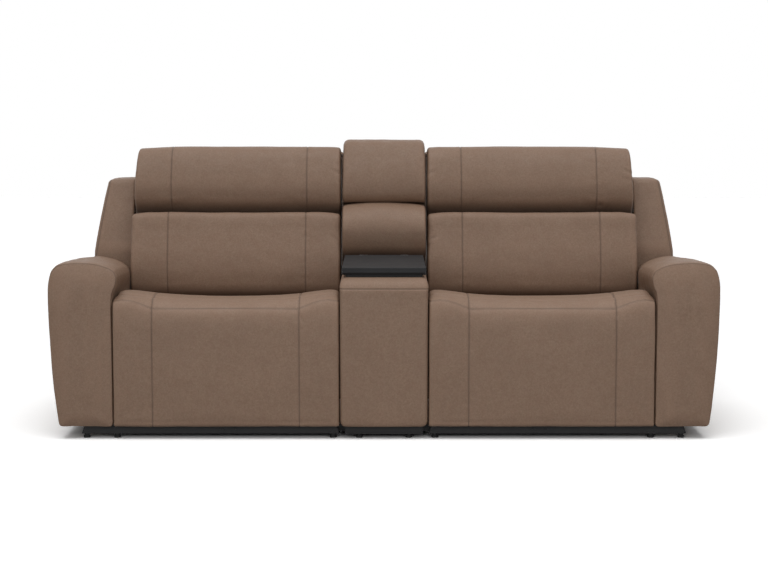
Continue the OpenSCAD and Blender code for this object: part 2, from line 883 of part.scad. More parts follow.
module back_frame() {
    w = back_pad_w / 2 - 14;
    mid_x = back_mid - unit_x;
    top = head_pivot[1] - 50;
    bar_h = 40;
    hinge_top = [post_d(430) + 24, 430];
    color(timber)
        at_seat()
            union() {
                translate([mid_x, 0, 0]) {
                    both_sides()
                        slab(w - 34, w)
                            polygon(post_outline(350, top));
                    for (z = [400, 540, top - bar_h])
                        slab(-w, w)
                            polygon(post_outline(z, z + bar_h));
                }
                both_sides()
                    slab(plate_out + layer_gap, plate_out + layer_gap + link_t)
                        union() {
                            translate(recline_pivot)
                                circle(r = 24);
                            link_shape(recline_pivot, hinge_top, 40);
                        }
                bar(-plate_out - 5, plate_out + 5, recline_pivot, tube_r);
                translate([recline_drive_x, 0, 0])
                    crank(recline_pivot, crank_recline);
                translate([mid_x, 0, 0])
                    both_sides() {
                        slab(ear_x + ear_t + ear_gap, ear_x + 2 * ear_t + ear_gap)
                            union() {
                                link_shape(head_pivot, [post_d(top) + 16, top - 8], 20);
                                translate(head_pivot)
                                    circle(r = 12);
                            }
                        bar(ear_x - 2, ear_x + ear_t + ear_gap, head_pivot, rivet_d / 2);
                    }
            }
}

// Outside back: rear panel, rolled top and the cheek beside the console
module back_cover() {
    x0 = back_in;
    x1 = arm_back_in - 8;
    roll = 84;
    color(leather)
        union() {
            slab(x0, x1)
                polygon(rounded([
                    [rear_d(shell_low) - shell_t, shell_low, 3], [rear_d(shell_low), shell_low, 6],
                    [rear_d(shell_top), shell_top, 16],
                    [rear_d(shell_top) - roll, shell_top, 10],
                    [rear_d(shell_top) - roll, shell_top - shell_t, 0],
                    [rear_d(shell_top) - shell_t, shell_top - shell_t, 0]]));
            slab(x1 - 1, wing_in)
                polygon([
                    [rear_d(tie_low) - shell_t, tie_low], [rear_d(tie_low), tie_low],
                    [rear_d(tie_top), tie_top], [rear_d(tie_top) - shell_t, tie_top]]);
            for (x = [x0, x1 - shell_t])
                slab(x, x + shell_t)
                    polygon(rounded([
                        [post_d(face_low_z) + post_t, face_low_z, 0],
                        [rear_d(face_low_z) - shell_t + 2, cheek_low, 0],
                        [rear_d(cheek_top) - shell_t + 2, cheek_top, 0],
                        [post_d(cheek_top) + post_t, cheek_top, 0]]));
        }
}

module lumbar_pad() {
    top = lumbar_top - 3;
    swing = (head_swing_r + head_play) / cos(10);
    mid_z = (lumbar_low + lumbar_top) / 2;
    color(leather)
        soft_form(concat([
            [face_d(lumbar_low) + 34, lumbar_low], [face_d(lumbar_low) + 8, lumbar_low + 12],
            [face_d(460) - 4, 460], [face_d(520) - 8, 520], [face_d(590) - 9, 590],
            [face_d(660) - 6, 660], [face_d(top) - 6, top - 24], [face_d(top) + 1, top - 8],
            [face_d(top) + 12, top]],
            [for (a = [210:20:270]) head_pivot + swing * [cos(a), sin(a)]],
            [[post_d(680) - 8, 680], [post_d(660) - seat_rest_gap, 660],
                [post_d(560) - seat_rest_gap, 560], [post_d(440) - seat_rest_gap, 440],
                [post_d(lumbar_low) - 10, lumbar_low]]),
            pad_stations(back_in, back_out,
                [back_in + back_side_panel, back_out - back_side_panel], 4, 14, 0),
            [(face_d(mid_z) + post_d(mid_z)) / 2, mid_z], lumbar_top);
}

// Upholstered side of the back, above the rear of the arm
module wing() {
    low_d = arm_step + wing_gap;
    bend = [low_d + 12, 590];
    rear = rear_d(640) - 2;
    taper = 45;
    taper_from = 563;
    wing_out = arm_low - 16;
    color(leather)
        intersection() {
            slab(wing_in, wing_out + 1)
                polygon(rounded([
                    [low_d, wing_low, 6],
                    [rear, wing_low + tan(recline_angle) * (rear - low_d), 6],
                    [rear_d(wing_top) - 2, wing_top, 30],
                    [bend[0] + (wing_top - bend[1]) * head_slope, wing_top, 24],
                    [bend[0], bend[1], 40]]));
            rotate([90, 0, 0])
                mirror([0, 0, 1])
                    linear_extrude(depth)
                        polygon(rounded([
                            [wing_in, arm_rear_top, 0], [wing_out, arm_rear_top, 0],
                            [wing_out, taper_from, 60], [wing_out - taper, wing_top, 26],
                            [wing_in, wing_top, 6]]));
        }
}

// Head rest

module headrest_frame() {
    w = back_pad_w / 2 - 30;
    low = head_board_low;
    top = head_top - 19;
    color(timber)
        translate([back_mid, 0, 0])
            union() {
                slab(-w, w)
                    polygon([[head_back(low), low], [head_back(low) + head_board_t, low],
                        [head_back(top) + head_board_t, top], [head_back(top), top]]);
                both_sides()
                    slab(ear_x, ear_x + ear_t)
                        difference() {
                            union() {
                                link_shape(head_pivot,
                                    [head_back(low + 28) + head_board_t / 2, low + 28], 22);
                                translate(head_pivot)
                                    circle(r = 13);
                            }
                            translate(head_pivot)
                                circle(r = rivet_d / 2 + pin_gap);
                        }
            }
}

module headrest_pad() {
    bottom = head_pivot[1];
    front = face_d(head_top - 134);
    height = head_top - bottom;
    color(leather)
        difference() {
            soft_form(concat(
                [for (a = [270:-24:174]) head_pivot + head_swing_r * [cos(a), sin(a)]],
                [[front - 12, bottom + 21], [front - 17, bottom + 45], [front - 20, bottom + 85],
                    [front - 13, bottom + 0.54 * height], [front + 1, bottom + 0.72 * height],
                    [front + 24, head_top - 30], [front + 46, head_top - 10],
                    [front + 78, head_top],
                    [head_back(head_top) - 14, head_top - 12],
                    [head_back(head_top - 34) - seat_rest_gap, head_top - 34],
                    [head_back(bottom + 105) - seat_rest_gap, bottom + 105],
                    [head_back(bottom + 23) - seat_rest_gap, bottom + 23],
                    [head_pivot[0] + 44, bottom - 29]]),
                pad_stations(back_in, back_out - 9,
                    [back_in + back_side_panel, back_out - side_panel_w], 4, 14, 0),
                [(front + head_back(bottom + height / 2)) / 2, bottom + height / 2], head_top);
            translate([back_mid, 0, 0])
                both_sides()
                    block([ear_x - 4, head_pivot[0] - 22, lumbar_low],
                        [ear_x + 2 * ear_t + ear_gap + 4, depth, bottom + 62]);
        }
}

// Console

console_x = console_w / 2;
back_console_x = console_x + 6;
lid_low = console_h + 8;
lid_front = 40;
lid_rear = lid_front + lid_depth;
hinge_r = 4;
hinge_axis = [lid_rear + hinge_r + 0.4, lid_low + lid_t - hinge_r];
hinge_half = 60;
bin_x = console_x - 29.5;
lid_rest_gap = 0.3;
strap_t = 4;
strap_reach = 26;
hinge_pin_r = 1.5;
tower_depth = 160;
tower_top = shell_top + 10;
tower_t = 100;
bolster_front = hinge_axis[0] + hinge_r + 4.6;
bolster_top = 769;

// Front surface of the console tower at a height
function tower_front(z) = base_rear - tower_depth + (z - console_h) * back_slope;

// Upholstered box with the bin, and the tower behind it
module console_case() {
    color(leather)
        middle()
        union() {
            difference() {
                translate([-console_x, 0, 0])
                    slab(0, console_w)
                        polygon(rounded([
                            [0, rail_top, 4], [base_rear, rail_top, 4], [base_rear, console_h, 4],
                            [26, console_h, 18], [0, 516, 30]]));
                block([-bin_x, lid_front + bin_wall, console_h - bin_depth],
                    [bin_x, lid_rear - bin_wall, console_h + 1]);
            }
            slab(-console_x + 4, console_x - 4)
                polygon(rounded([
                    [tower_front(console_h - 1), console_h - 1, 0],
                    [base_rear - 5, console_h - 1, 0],
                    [tower_front(tower_top) + tower_t, tower_top, 20],
                    [tower_front(tower_top), tower_top, 10]]));
        }
}

// Plinth under the console, with the two straps that join the seat bases to it
module console_base() {
    rear_face = base_rear - panel_t - rail_t;
    color(steel)
        middle()
            union() {
                difference() {
                    block([-console_x + 16, 30, glide_h],
                        [console_x - 16, base_rear - 14, rail_top]);
                    block([-console_x + 40, 54, glide_h - 1],
                        [console_x - 40, base_rear - 50, rail_top - 6]);
                }
                for (d = [rail_front + rail_t, rear_face - strap_t])
                    block([-seat_in - strap_reach, d, glide_h + 4],
                        [seat_in + strap_reach, d + strap_t, rail_top - 4]);
            }
}

// Lid with a bevelled edge, hollow under its skin, and the moving knuckle
module console_lid() {
    x = console_x - 7;
    color(plastic)
        middle()
        difference() {
            union() {
                slab(-x, x)
                    polygon(rounded([
                        [lid_front + 8, lid_low, 2], [lid_rear, lid_low, 0],
                        [lid_rear, lid_low + lid_t, 2], [lid_front, lid_low + lid_t, 3],
                        [lid_front, lid_low + 8, 2]]));
                block([-x + 12, lid_front + 12, console_h + lid_rest_gap],
                    [x - 12, lid_rear - 14, lid_low + 1]);
                bar(-hinge_half, hinge_half, hinge_axis, hinge_r);
                block([-hinge_half, lid_rear - 1, hinge_axis[1] - 2],
                    [hinge_half, hinge_axis[0], hinge_axis[1] + hinge_r - 0.5]);
            }
            block([-x + 16, lid_front + 16, console_h],
                [x - 16, lid_rear - 18, lid_low + lid_t - 8]);
            bar(-hinge_half - 1, hinge_half + 1, hinge_axis, hinge_pin_r + pin_gap);
        }
}

// Rear hinge of the lid: pin, fixed knuckles and their leaf on the case
module console_hinge() {
    color(bright)
        middle()
        union() {
            bar(-hinge_half - 30, hinge_half + 30, hinge_axis, hinge_pin_r);
            for (s = [0, 1])
                mirror([s, 0, 0])
                    union() {
                        bar(hinge_half + 0.5, hinge_half + 30, hinge_axis, hinge_r);
                        block([hinge_half + 0.5, hinge_axis[0] + 1, console_h],
                            [hinge_half + 30, hinge_axis[0] + hinge_r, hinge_axis[1]]);
                    }
        }
}

// Lower pad of the console back, which leans on the tower
module console_bolster() {
    low = console_h + seat_rest_gap;
    top = bolster_top - seat_rest_gap;
    front = bolster_front;
    mid_z = (low + top) / 2;
    color(leather)
        middle()
        soft_form([
            [front + 66, low], [front + 36, low + 8], [front + 20, low + 34],
            [front + 9, low + 80], [front + 12, low + 124], [front + 30, top - 48],
            [front + 55, top - 18], [front + 75, top - 5], [front + 98, top],
            [tower_front(top) - 14, top - 1], [tower_front(top - 12) - seat_rest_gap, top - 12],
            [tower_front(mid_z) - seat_rest_gap, mid_z],
            [tower_front(low + 12) - seat_rest_gap, low + 12], [tower_front(low) - 8, low]
        ], pad_stations(-back_console_x, back_console_x, [], 5, 13, 0),
            [(front + tower_front(mid_z)) / 2 + 6, mid_z], bolster_top);
}

// Upper pad of the console back, rolled over the top of the tower
module console_headrest() {
    low = bolster_top;
    top = console_top;
    front = bolster_front + 99;
    lip = tower_top + 9;
    mid_z = (low + top) / 2;
    color(leather)
        middle()
        soft_form([
            [front + 38, low], [front + 16, low + 5], [front + 3, low + 26],
            [front, low + 62], [front + 10, low + 110], [front + 34, low + 160],
            [front + 62, top - 28], [front + 82, top - 8], [front + 112, top],
            [tower_front(tower_top) + 8, top - 2], [tower_front(tower_top) + 28, top - 13],
            [tower_front(tower_top) + 24, lip], [tower_front(tower_top) - seat_rest_gap, lip - 4],
            [tower_front(mid_z) - seat_rest_gap, mid_z], [tower_front(low + 2) - seat_rest_gap, low + 2]
        ], pad_stations(-back_console_x, back_console_x, [], 5, 14, 0),
            [(front + tower_front(mid_z)) / 2 + 8, mid_z], console_top);
}

module left_arm_cover() { unit(-1) arm_cover(); }
module left_arm_frame() { unit(-1) arm_frame(); }
module left_base_frame() { unit(-1) base_frame(); }
module left_switch_plate() { unit(-1) switch_plate(); }
module left_recline_rocker() { unit(-1) rocker(-1); }
module left_headrest_rocker() { unit(-1) rocker(1); }
module left_carriage() { unit(-1) carriage(); }
module left_seat_deck() { unit(-1) seat_deck(); }
module left_seat_springs() { unit(-1) seat_springs(); }
module left_seat_cushion() { unit(-1) seat_cushion(); }
module left_drive_arms() { unit(-1) drive_arms(); }
module left_lift_arms() { unit(-1) lift_arms(); }
module left_guide_links() { unit(-1) guide_links(); }
module left_stay_links() { unit(-1) stay_links(); }
module left_legrest_bracket() { unit(-1) legrest_bracket(); }
module left_legrest_pad() { unit(-1) legrest_pad(); }
module left_legrest_drive() { unit(-1) legrest_drive(); }
module left_legrest_nut() { unit(-1) legrest_nut(); }
module left_recline_drive() { unit(-1) recline_drive(); }
module left_recline_nut() { unit(-1) recline_nut(); }
module left_back_frame() { unit(-1) back_frame(); }
module left_back_cover() { unit(-1) back_cover(); }
module left_lumbar_pad() { unit(-1) lumbar_pad(); }
module left_wing() { unit(-1) wing(); }
module left_headrest_frame() { unit(-1) headrest_frame(); }
module left_headrest_pad() { unit(-1) headrest_pad(); }
module right_arm_cover() { unit(1) arm_cover(); }
module right_arm_frame() { unit(1) arm_frame(); }
module right_base_frame() { unit(1) base_frame(); }
module right_switch_plate() { unit(1) switch_plate(); }
module right_recline_rocker() { unit(1) rocker(-1); }
module right_headrest_rocker() { unit(1) rocker(1); }
module right_carriage() { unit(1) carriage(); }
module right_seat_deck() { unit(1) seat_deck(); }
module right_seat_springs() { unit(1) seat_springs(); }
module right_seat_cushion() { unit(1) seat_cushion(); }
module right_drive_arms() { unit(1) drive_arms(); }
module right_lift_arms() { unit(1) lift_arms(); }
module right_guide_links() { unit(1) guide_links(); }
module right_stay_links() { unit(1) stay_links(); }
module right_legrest_bracket() { unit(1) legrest_bracket(); }
module right_legrest_pad() { unit(1) legrest_pad(); }
module right_legrest_drive() { unit(1) legrest_drive(); }
module right_legrest_nut() { unit(1) legrest_nut(); }
module right_recline_drive() { unit(1) recline_drive(); }
module right_recline_nut() { unit(1) recline_nut(); }
module right_back_frame() { unit(1) back_frame(); }
module right_back_cover() { unit(1) back_cover(); }
module right_lumbar_pad() { unit(1) lumbar_pad(); }
module right_wing() { unit(1) wing(); }
module right_headrest_frame() { unit(1) headrest_frame(); }
module right_headrest_pad() { unit(1) headrest_pad(); }

module legrest_drive() {
    linear_drive(legrest_drive_x, legrest_screw_z, crank_legrest[0] + nut_margin,
        legrest_travel + 2 * nut_margin, false);
}

module recline_drive() {
    linear_drive(recline_drive_x, recline_screw_z,
        crank_recline[0] - recline_travel - nut_margin, recline_travel + 2 * nut_margin, true);
}

module legrest_nut() {
    drive_nut(legrest_drive_x, legrest_screw_z, crank_legrest);
}

module recline_nut() {
    drive_nut(recline_drive_x, recline_screw_z, crank_recline);
}

left_arm_cover();
left_arm_frame();
left_base_frame();
left_switch_plate();
left_recline_rocker();
left_headrest_rocker();
left_carriage();
left_seat_deck();
left_seat_springs();
left_seat_cushion();
left_drive_arms();
left_lift_arms();
left_guide_links();
left_stay_links();
left_legrest_bracket();
left_legrest_pad();
left_legrest_drive();
left_legrest_nut();
left_recline_drive();
left_recline_nut();
left_back_frame();
left_back_cover();
left_lumbar_pad();
left_wing();
left_headrest_frame();
left_headrest_pad();
right_arm_cover();
right_arm_frame();
right_base_frame();
right_switch_plate();
right_recline_rocker();
right_headrest_rocker();
right_carriage();
right_seat_deck();
right_seat_springs();
right_seat_cushion();
right_drive_arms();
right_lift_arms();
right_guide_links();
right_stay_links();
right_legrest_bracket();
right_legrest_pad();
right_legrest_drive();
right_legrest_nut();
right_recline_drive();
right_recline_nut();
right_back_frame();
right_back_cover();
right_lumbar_pad();
right_wing();
right_headrest_frame();
right_headrest_pad();
glides();
rail_bolts();
console_case();
console_base();
console_lid();
console_hinge();
console_bolster();
console_headrest();
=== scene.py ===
import json
import math

import bpy
import numpy as np
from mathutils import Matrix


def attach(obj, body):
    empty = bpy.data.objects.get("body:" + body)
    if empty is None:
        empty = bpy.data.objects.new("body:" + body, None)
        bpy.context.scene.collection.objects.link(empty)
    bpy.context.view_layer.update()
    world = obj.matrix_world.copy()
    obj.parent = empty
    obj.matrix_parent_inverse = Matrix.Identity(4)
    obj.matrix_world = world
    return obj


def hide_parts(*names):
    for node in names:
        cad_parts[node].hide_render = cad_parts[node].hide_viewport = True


# Reclining loveseat with console. Shapes are made in millimetres as (x, d, z): x from the
# middle, d behind the front plane, z above the floor. The left seat mirrors the right one.
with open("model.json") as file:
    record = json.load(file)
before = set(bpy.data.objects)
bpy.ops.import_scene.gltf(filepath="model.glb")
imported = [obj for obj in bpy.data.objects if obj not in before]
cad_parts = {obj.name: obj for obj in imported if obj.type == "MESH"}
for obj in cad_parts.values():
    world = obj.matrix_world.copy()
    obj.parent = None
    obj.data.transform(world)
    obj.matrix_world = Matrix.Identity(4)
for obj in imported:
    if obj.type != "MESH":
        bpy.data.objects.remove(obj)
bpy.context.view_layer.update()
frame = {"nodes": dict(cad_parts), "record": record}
nodes = frame["nodes"]

MM = 0.001
PER_METRE = 1000
HALF_DEPTH = 482.5
SIDES = ((-1, "left"), (1, "right"))
# stands for the distance of a place that is nowhere near a line
FAR = 99.0

# Sizes shared with the CAD model
SEAT_IN = 153.0
SEAT_OUT = 918.0
SEAT_LOW = 376.4
BACK_IN = 161.0
BACK_OUT = 937.0
ARM_IN = 922.0
ARM_OUT = 1138.0
WING_IN = 946.0
WING_OUT = 1091.0
BASE_REAR = 880.0
CASE_HALF = 149.5
CASE_SEAM = 516
CONSOLE_PAD_LOW = 552.4
CONSOLE_PAD_FRONT = 642.4
SEAT_SEAMS = (288.0, 787.0)
LUMBAR_SEAMS = (290.0, 800.0)
HEAD_SEAMS = (287.0, 790.0)
HEAD_PIVOT = (700.142, 745.0)
HEAD_RADIUS = 35.6
HEAD_SWING = 37.57
LUMBAR_TOP = 737.0


def leaning(d, z, slope):
    """Leaning plane through (d, z): its depth at any height."""
    return lambda at: d + (at - z) * slope


post_d = leaning(694.0, 420.0, 0.172769)
rear_d = leaning(880.0, 300.0, 0.130769)
head_back = leaning(764.142, 762.0, 0.400769)
tower_front = leaning(720.0, 552.0, 0.260769)


def grow(v, start, span):
    """0 before the start, 1 after the span. A negative span grows downward."""
    return np.clip((v - start) / span, 0, 1)


def gauss(v, w):
    return np.exp(-(v / w) ** 2)


# Curves and grids

def through(points, step, closed=True, counts=None):
    """Smooth curve through the points, and the place of each point on it."""
    p = np.array(points, float)
    n = len(p)
    out = []
    at = []
    for i in range(n if closed else n - 1):
        b, c = p[i], p[(i + 1) % n]
        a = p[i - 1] if closed or i > 0 else b - (c - b)
        e = p[(i + 2) % n] if closed or i < n - 2 else c + (c - b)
        ta = max(np.linalg.norm(b - a), 1e-6) ** 0.5
        tb = max(np.linalg.norm(c - b), 1e-6) ** 0.5
        tc = max(np.linalg.norm(e - c), 1e-6) ** 0.5
        mb = ((b - a) / ta - (c - a) / (ta + tb) + (c - b) / tb) * tb
        mc = ((c - b) / tb - (e - b) / (tb + tc) + (e - c) / tc) * tb
        m = counts[i] if counts else max(1, int(round(np.linalg.norm(c - b) / step)))
        t = (np.arange(m) / m)[:, None]
        at.append(sum(len(o) for o in out))
        out.append((2 * t**3 - 3 * t**2 + 1) * b + (t**3 - 2 * t**2 + t) * mb
                   + (3 * t**2 - 2 * t**3) * c + (t**3 - t**2) * mc)
    if not closed:
        at.append(sum(len(o) for o in out))
        out.append(p[-1][None, :])
    return np.vstack(out), at


def loop_normals(loop):
    """Outward normals of a closed outline in its plane."""
    t = np.roll(loop, -1, 0) - np.roll(loop, 1, 0)
    t /= np.linalg.norm(t, axis=1)[:, None] + 1e-9
    n = np.stack([t[:, 1], -t[:, 0]], 1)
    area = np.sum(loop[:, 0] * np.roll(loop[:, 1], -1) - np.roll(loop[:, 0], -1) * loop[:, 1])
    return n if area > 0 else -n


def arc_length(loop):
    return np.concatenate([[0], np.cumsum(np.linalg.norm(np.diff(loop, axis=0), axis=1))])


def nearest_on(path, p):
    """Nearest point on an open path for every point."""
    path = np.array(path, float)
    best = np.full(len(p), 1e18)
    out = np.zeros_like(p)
    for a, b in zip(path[:-1], path[1:]):
        u = np.clip(((p - a) @ (b - a)) / ((b - a) @ (b - a)), 0, 1)[:, None]
        q = a + u * (b - a)
        d = np.sum((p - q) ** 2, axis=1)
        near = d < best
        best[near] = d[near]
        out[near] = q[near]
    return out


def drawn_in(ring, medial, shares):
    """Copies of a ring drawn toward a middle line, to close the end of a form."""
    mid = nearest_on(medial, ring)
    return [mid + (ring - mid) * k for k in shares]


# half the width of the strip of narrow rows at a seam
SEAM_ROW = 4


def stations(x0, x1, seams, step, radius, inset):
    """Places across a pad, with rows at its seams: x, draw at the rounded ends, cap scale.
    Radius and inset are pairs, for the inner and the outer end."""
    cuts = [x0 + radius[0]]
    for s in seams:
        cuts += [s - SEAM_ROW, s, s + SEAM_ROW]
    cuts.append(x1 - radius[1])
    xs = [cuts[0]]
    for a, b in zip(cuts[:-1], cuts[1:]):
        m = max(1, int(round((b - a) / step)))
        xs += [a + (b - a) * k / m for k in range(1, m + 1)]
    turns = [(1 - math.cos(k * math.pi / 10), 1 - math.sin(k * math.pi / 10)) for k in range(5)]
    low = [(x0 + radius[0] * u, inset[0] * w, 1.0) for u, w in turns]
    high = [(x1 - radius[1] * u, inset[1] * w, 1.0) for u, w in reversed(turns)]
    rings = [0.06, 0.3, 0.55, 0.8]
    return ([(x0, inset[0], k) for k in rings] + low + [(x, 0.0, 1.0) for x in xs] + high
            + [(x1, inset[1], k) for k in reversed(rings)])


def pad_grid(loop, places, medial, shape):
    """Closed pad: the outline carried across the places, drawn in at its ends."""
    normals = loop_normals(loop)
    medial_at = nearest_on(medial, loop)
    rows = []
    for x, draw, k in places:
        q = loop - normals * draw
        q = medial_at + (q - medial_at) * k
        rows.append(np.column_stack([np.full(len(q), x), q]))
    return shape(np.array(rows))


def refine_closed(p):
    m = (9 * (p + np.roll(p, -1, 1)) - np.roll(p, 1, 1) - np.roll(p, -2, 1)) / 16
    out = np.empty((p.shape[0], p.shape[1] * 2, p.shape[2]))
    out[:, 0::2] = p
    out[:, 1::2] = m
    return out


def refine_open(p):
    a = np.concatenate([(2 * p[:1] - p[1:2]), p, (2 * p[-1:] - p[-2:-1])])
    m = (9 * (a[1:-2] + a[2:-1]) - a[:-3] - a[3:]) / 16
    out = np.empty((p.shape[0] * 2 - 1, p.shape[1], p.shape[2]))
    out[0::2] = p
    out[1::2] = m
    return out


def refine(p):
    return refine_open(refine_closed(p))


def spread(values):
    """Linear midpoints for a list that runs along the open direction."""
    v = np.asarray(values, float)
    out = np.empty(len(v) * 2 - 1)
    out[0::2] = v
    out[1::2] = (v[1:] + v[:-1]) / 2
    return out


def grid_normals(p):
    """Outward unit normals of a closed grid."""
    di = np.gradient(p, axis=0)
    dj = np.roll(p, -1, 1) - np.roll(p, 1, 1)
    n = np.cross(di, dj)
    n /= np.linalg.norm(n, axis=2)[..., None] + 1e-9
    mid = p.reshape(-1, 3).mean(0)
    return n if np.sum(n * (p - mid)) > 0 else -n


def offset(p, distance):
    """Grid moved along its normals."""
    return p + grid_normals(p) * distance[..., None]


def waves(p, seed, size, count=7):
    """Smooth random field over space, about -1 to 1, with waves of about the given size."""
    rng = np.random.default_rng(seed)
    total = np.zeros(p.shape[:-1])
    for _ in range(count):
        v = rng.normal(size=3)
        v *= 2 * math.pi / (size * rng.uniform(0.7, 1.5)) / np.linalg.norm(v)
        total += np.sin(p @ v + rng.uniform(0, 2 * math.pi))
    return total / count ** 0.5 / 1.3


def grid_faces(rows, cols):
    i, j = np.meshgrid(np.arange(rows - 1), np.arange(cols), indexing="ij")
    a = (i * cols + j).ravel()
    b = (i * cols + (j + 1) % cols).ravel()
    return np.stack([a, b, b + cols, a + cols], 1)


def link(obj):
    bpy.context.scene.collection.objects.link(obj)
    return obj


def to_metres(p, side=1):
    q = p.reshape(-1, 3) * MM
    q = q - np.array([0, HALF_DEPTH * MM, 0])
    q[:, 0] *= side
    return q


def mesh_of(name, p, side=1):
    """Closed mesh from a grid, with its two ends capped and its faces outward."""
    rows, cols = p.shape[:2]
    v = to_metres(p, side)
    quads = grid_faces(rows, cols)
    first = list(range(cols))
    last = [(rows - 1) * cols + j for j in range(cols)]
    a, b, c = v[quads[:, 0]], v[quads[:, 1]], v[quads[:, 2]]
    d = v[quads[:, 3]]
    volume = np.sum(np.cross(a, b) * c) + np.sum(np.cross(a, c) * d)
    faces = quads.tolist() + [first[::-1], last]
    if volume < 0:
        faces = [f[::-1] for f in faces]
    mesh = bpy.data.meshes.new(name)
    mesh.from_pydata(v.tolist(), [], faces)
    mesh.update()
    return mesh


def attribute(mesh, name, values):
    a = mesh.attributes.new(name, "FLOAT", "POINT")
    a.data.foreach_set("value", np.ascontiguousarray(values.reshape(-1), np.float32))


def crest(p, normals):
    """How strongly the surface curves outward, 0 to 1."""
    lap = (np.roll(p, 1, 1) + np.roll(p, -1, 1)) / 2 - p
    lap[1:-1] += (p[2:] + p[:-2]) / 2 - p[1:-1]
    bend = -np.sum(lap * normals, axis=2)
    for _ in range(3):
        bend = (bend + np.roll(bend, 1, 1) + np.roll(bend, -1, 1)) / 3
    return np.clip(bend * 4.5, 0, 1)


def piece(name, p, body, seam=None, side=1):
    """Leather piece from a grid, riding on a body."""
    mesh = mesh_of(name, p, side)
    # Outward curves are made lighter: partly wear, partly a painted highlight.
    attribute(mesh, "wear_and_highlight", crest(p, grid_normals(p)))
    # Seam lines are darkened, and some pads also carry painted shade low on their fronts.
    attribute(mesh, "seam", np.zeros(p.shape[:2]) if seam is None else seam)
    mesh.materials.append(MATERIALS["leather"])
    mesh.shade_smooth()
    obj = link(bpy.data.objects.new(name, mesh))
    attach(obj, body)
    return obj


CLOTH_FRAMES = 20


def inflate(p, pins, cap):
    """Cloth simulation of a closed form under inner pressure. Its travel is capped smoothly."""
    obj = link(bpy.data.objects.new("form", mesh_of("form", p)))
    group = obj.vertex_groups.new(name="held")
    flat = pins.reshape(-1)
    for level in np.unique(np.round(flat, 1)):
        if level > 0:
            at = np.nonzero(np.round(flat, 1) == level)[0]
            group.add(at.tolist(), float(level), "REPLACE")
    cloth = obj.modifiers.new("cloth", "CLOTH")
    s = cloth.settings
    s.quality = 5
    s.mass = 0.5
    s.tension_stiffness = 12
    s.compression_stiffness = 12
    s.shear_stiffness = 6
    s.bending_stiffness = 1.2
    s.vertex_group_mass = "held"
    s.use_pressure = True
    s.uniform_pressure_force = 4
    s.effector_weights.gravity = 0
    cloth.collision_settings.use_collision = False
    cloth.point_cache.frame_start = 1
    cloth.point_cache.frame_end = CLOTH_FRAMES
    scene = bpy.context.scene
    for f in range(1, CLOTH_FRAMES + 1):
        scene.frame_set(f)
    shown = obj.evaluated_get(bpy.context.evaluated_depsgraph_get())
    co = np.zeros(len(shown.data.vertices) * 3, np.float32)
    shown.data.vertices.foreach_get("co", co)
    mesh = obj.data
    bpy.data.objects.remove(obj)
    bpy.data.meshes.remove(mesh)
    scene.frame_set(1)
    q = co.reshape(-1, 3).astype(float) + np.array([0, HALF_DEPTH * MM, 0])
    move = q.reshape(p.shape) * PER_METRE - p
    size = np.linalg.norm(move, axis=2)[..., None] + 1e-9
    return p + move * (cap * np.tanh(size / cap) / size)


# Materials

def feed(nt, node, sockets):
    """Links the inputs that come from another node, and sets the others."""
    for socket, v in sockets.items():
        if isinstance(v, bpy.types.NodeSocket):
            nt.links.new(v, node.inputs[socket])
        else:
            node.inputs[socket].default_value = v


def add(nt, kind, sockets=None, **settings):
    node = nt.nodes.new(kind)
    for k, v in settings.items():
        setattr(node, k, v)
    feed(nt, node, sockets or {})
    return node


def make_material(name):
    m = bpy.data.materials.new(name)
    m.use_nodes = True
    nt = m.node_tree
    return m, nt, nt.nodes["Principled BSDF"]


def object_place(nt):
    return add(nt, "ShaderNodeTexCoord").outputs["Object"]


def stretched(nt, vector, scale):
    return add(nt, "ShaderNodeMapping", {"Vector": vector, "Scale": scale}).outputs["Vector"]


def noise(nt, vector, scale, detail=3.0, rough=0.55):
    sockets = {"Vector": vector, "Scale": scale, "Detail": detail, "Roughness": rough}
    return add(nt, "ShaderNodeTexNoise", sockets).outputs["Fac"]


def ramp(nt, value, *ends):
    """Straight map of a value. Ends are the low and high inputs and what they become."""
    sockets = dict(zip(("From Min", "From Max", "To Min", "To Max"), ends), Value=value)
    return add(nt, "ShaderNodeMapRange", sockets).outputs["Result"]


def mix(nt, factor, a, b):
    return add(nt, "ShaderNodeMix", {0: factor, 6: a, 7: b}, data_type="RGBA").outputs[2]


def bump(nt, height, distance, strength, below=None):
    sockets = {"Height": height, "Distance": distance, "Strength": strength}
    if below is not None:
        sockets["Normal"] = below
    return add(nt, "ShaderNodeBump", sockets).outputs["Normal"]


def srgb(r, g, b):
    return tuple((c / 12.92 if c <= 0.04045 else ((c + 0.055) / 1.055) ** 2.4)
                 for c in (r / 255, g / 255, b / 255)) + (1.0,)


def brighter(colour, gain, offset=0.0):
    return tuple(min(1.0, c * gain + offset) for c in colour[:3]) + (1.0,)


LEATHER_DARK = srgb(137, 114, 96)
LEATHER_LIGHT = srgb(144, 120, 101)
LEATHER_PATCH = srgb(134, 103, 86)
LEATHER_SPECK = srgb(116, 90, 70)
LEATHER_WEAR_AND_HIGHLIGHT = srgb(150, 121, 101)
LEATHER_PORE = srgb(94, 72, 58)
LEATHER_JOINT_AND_SHADE = srgb(52, 40, 33)


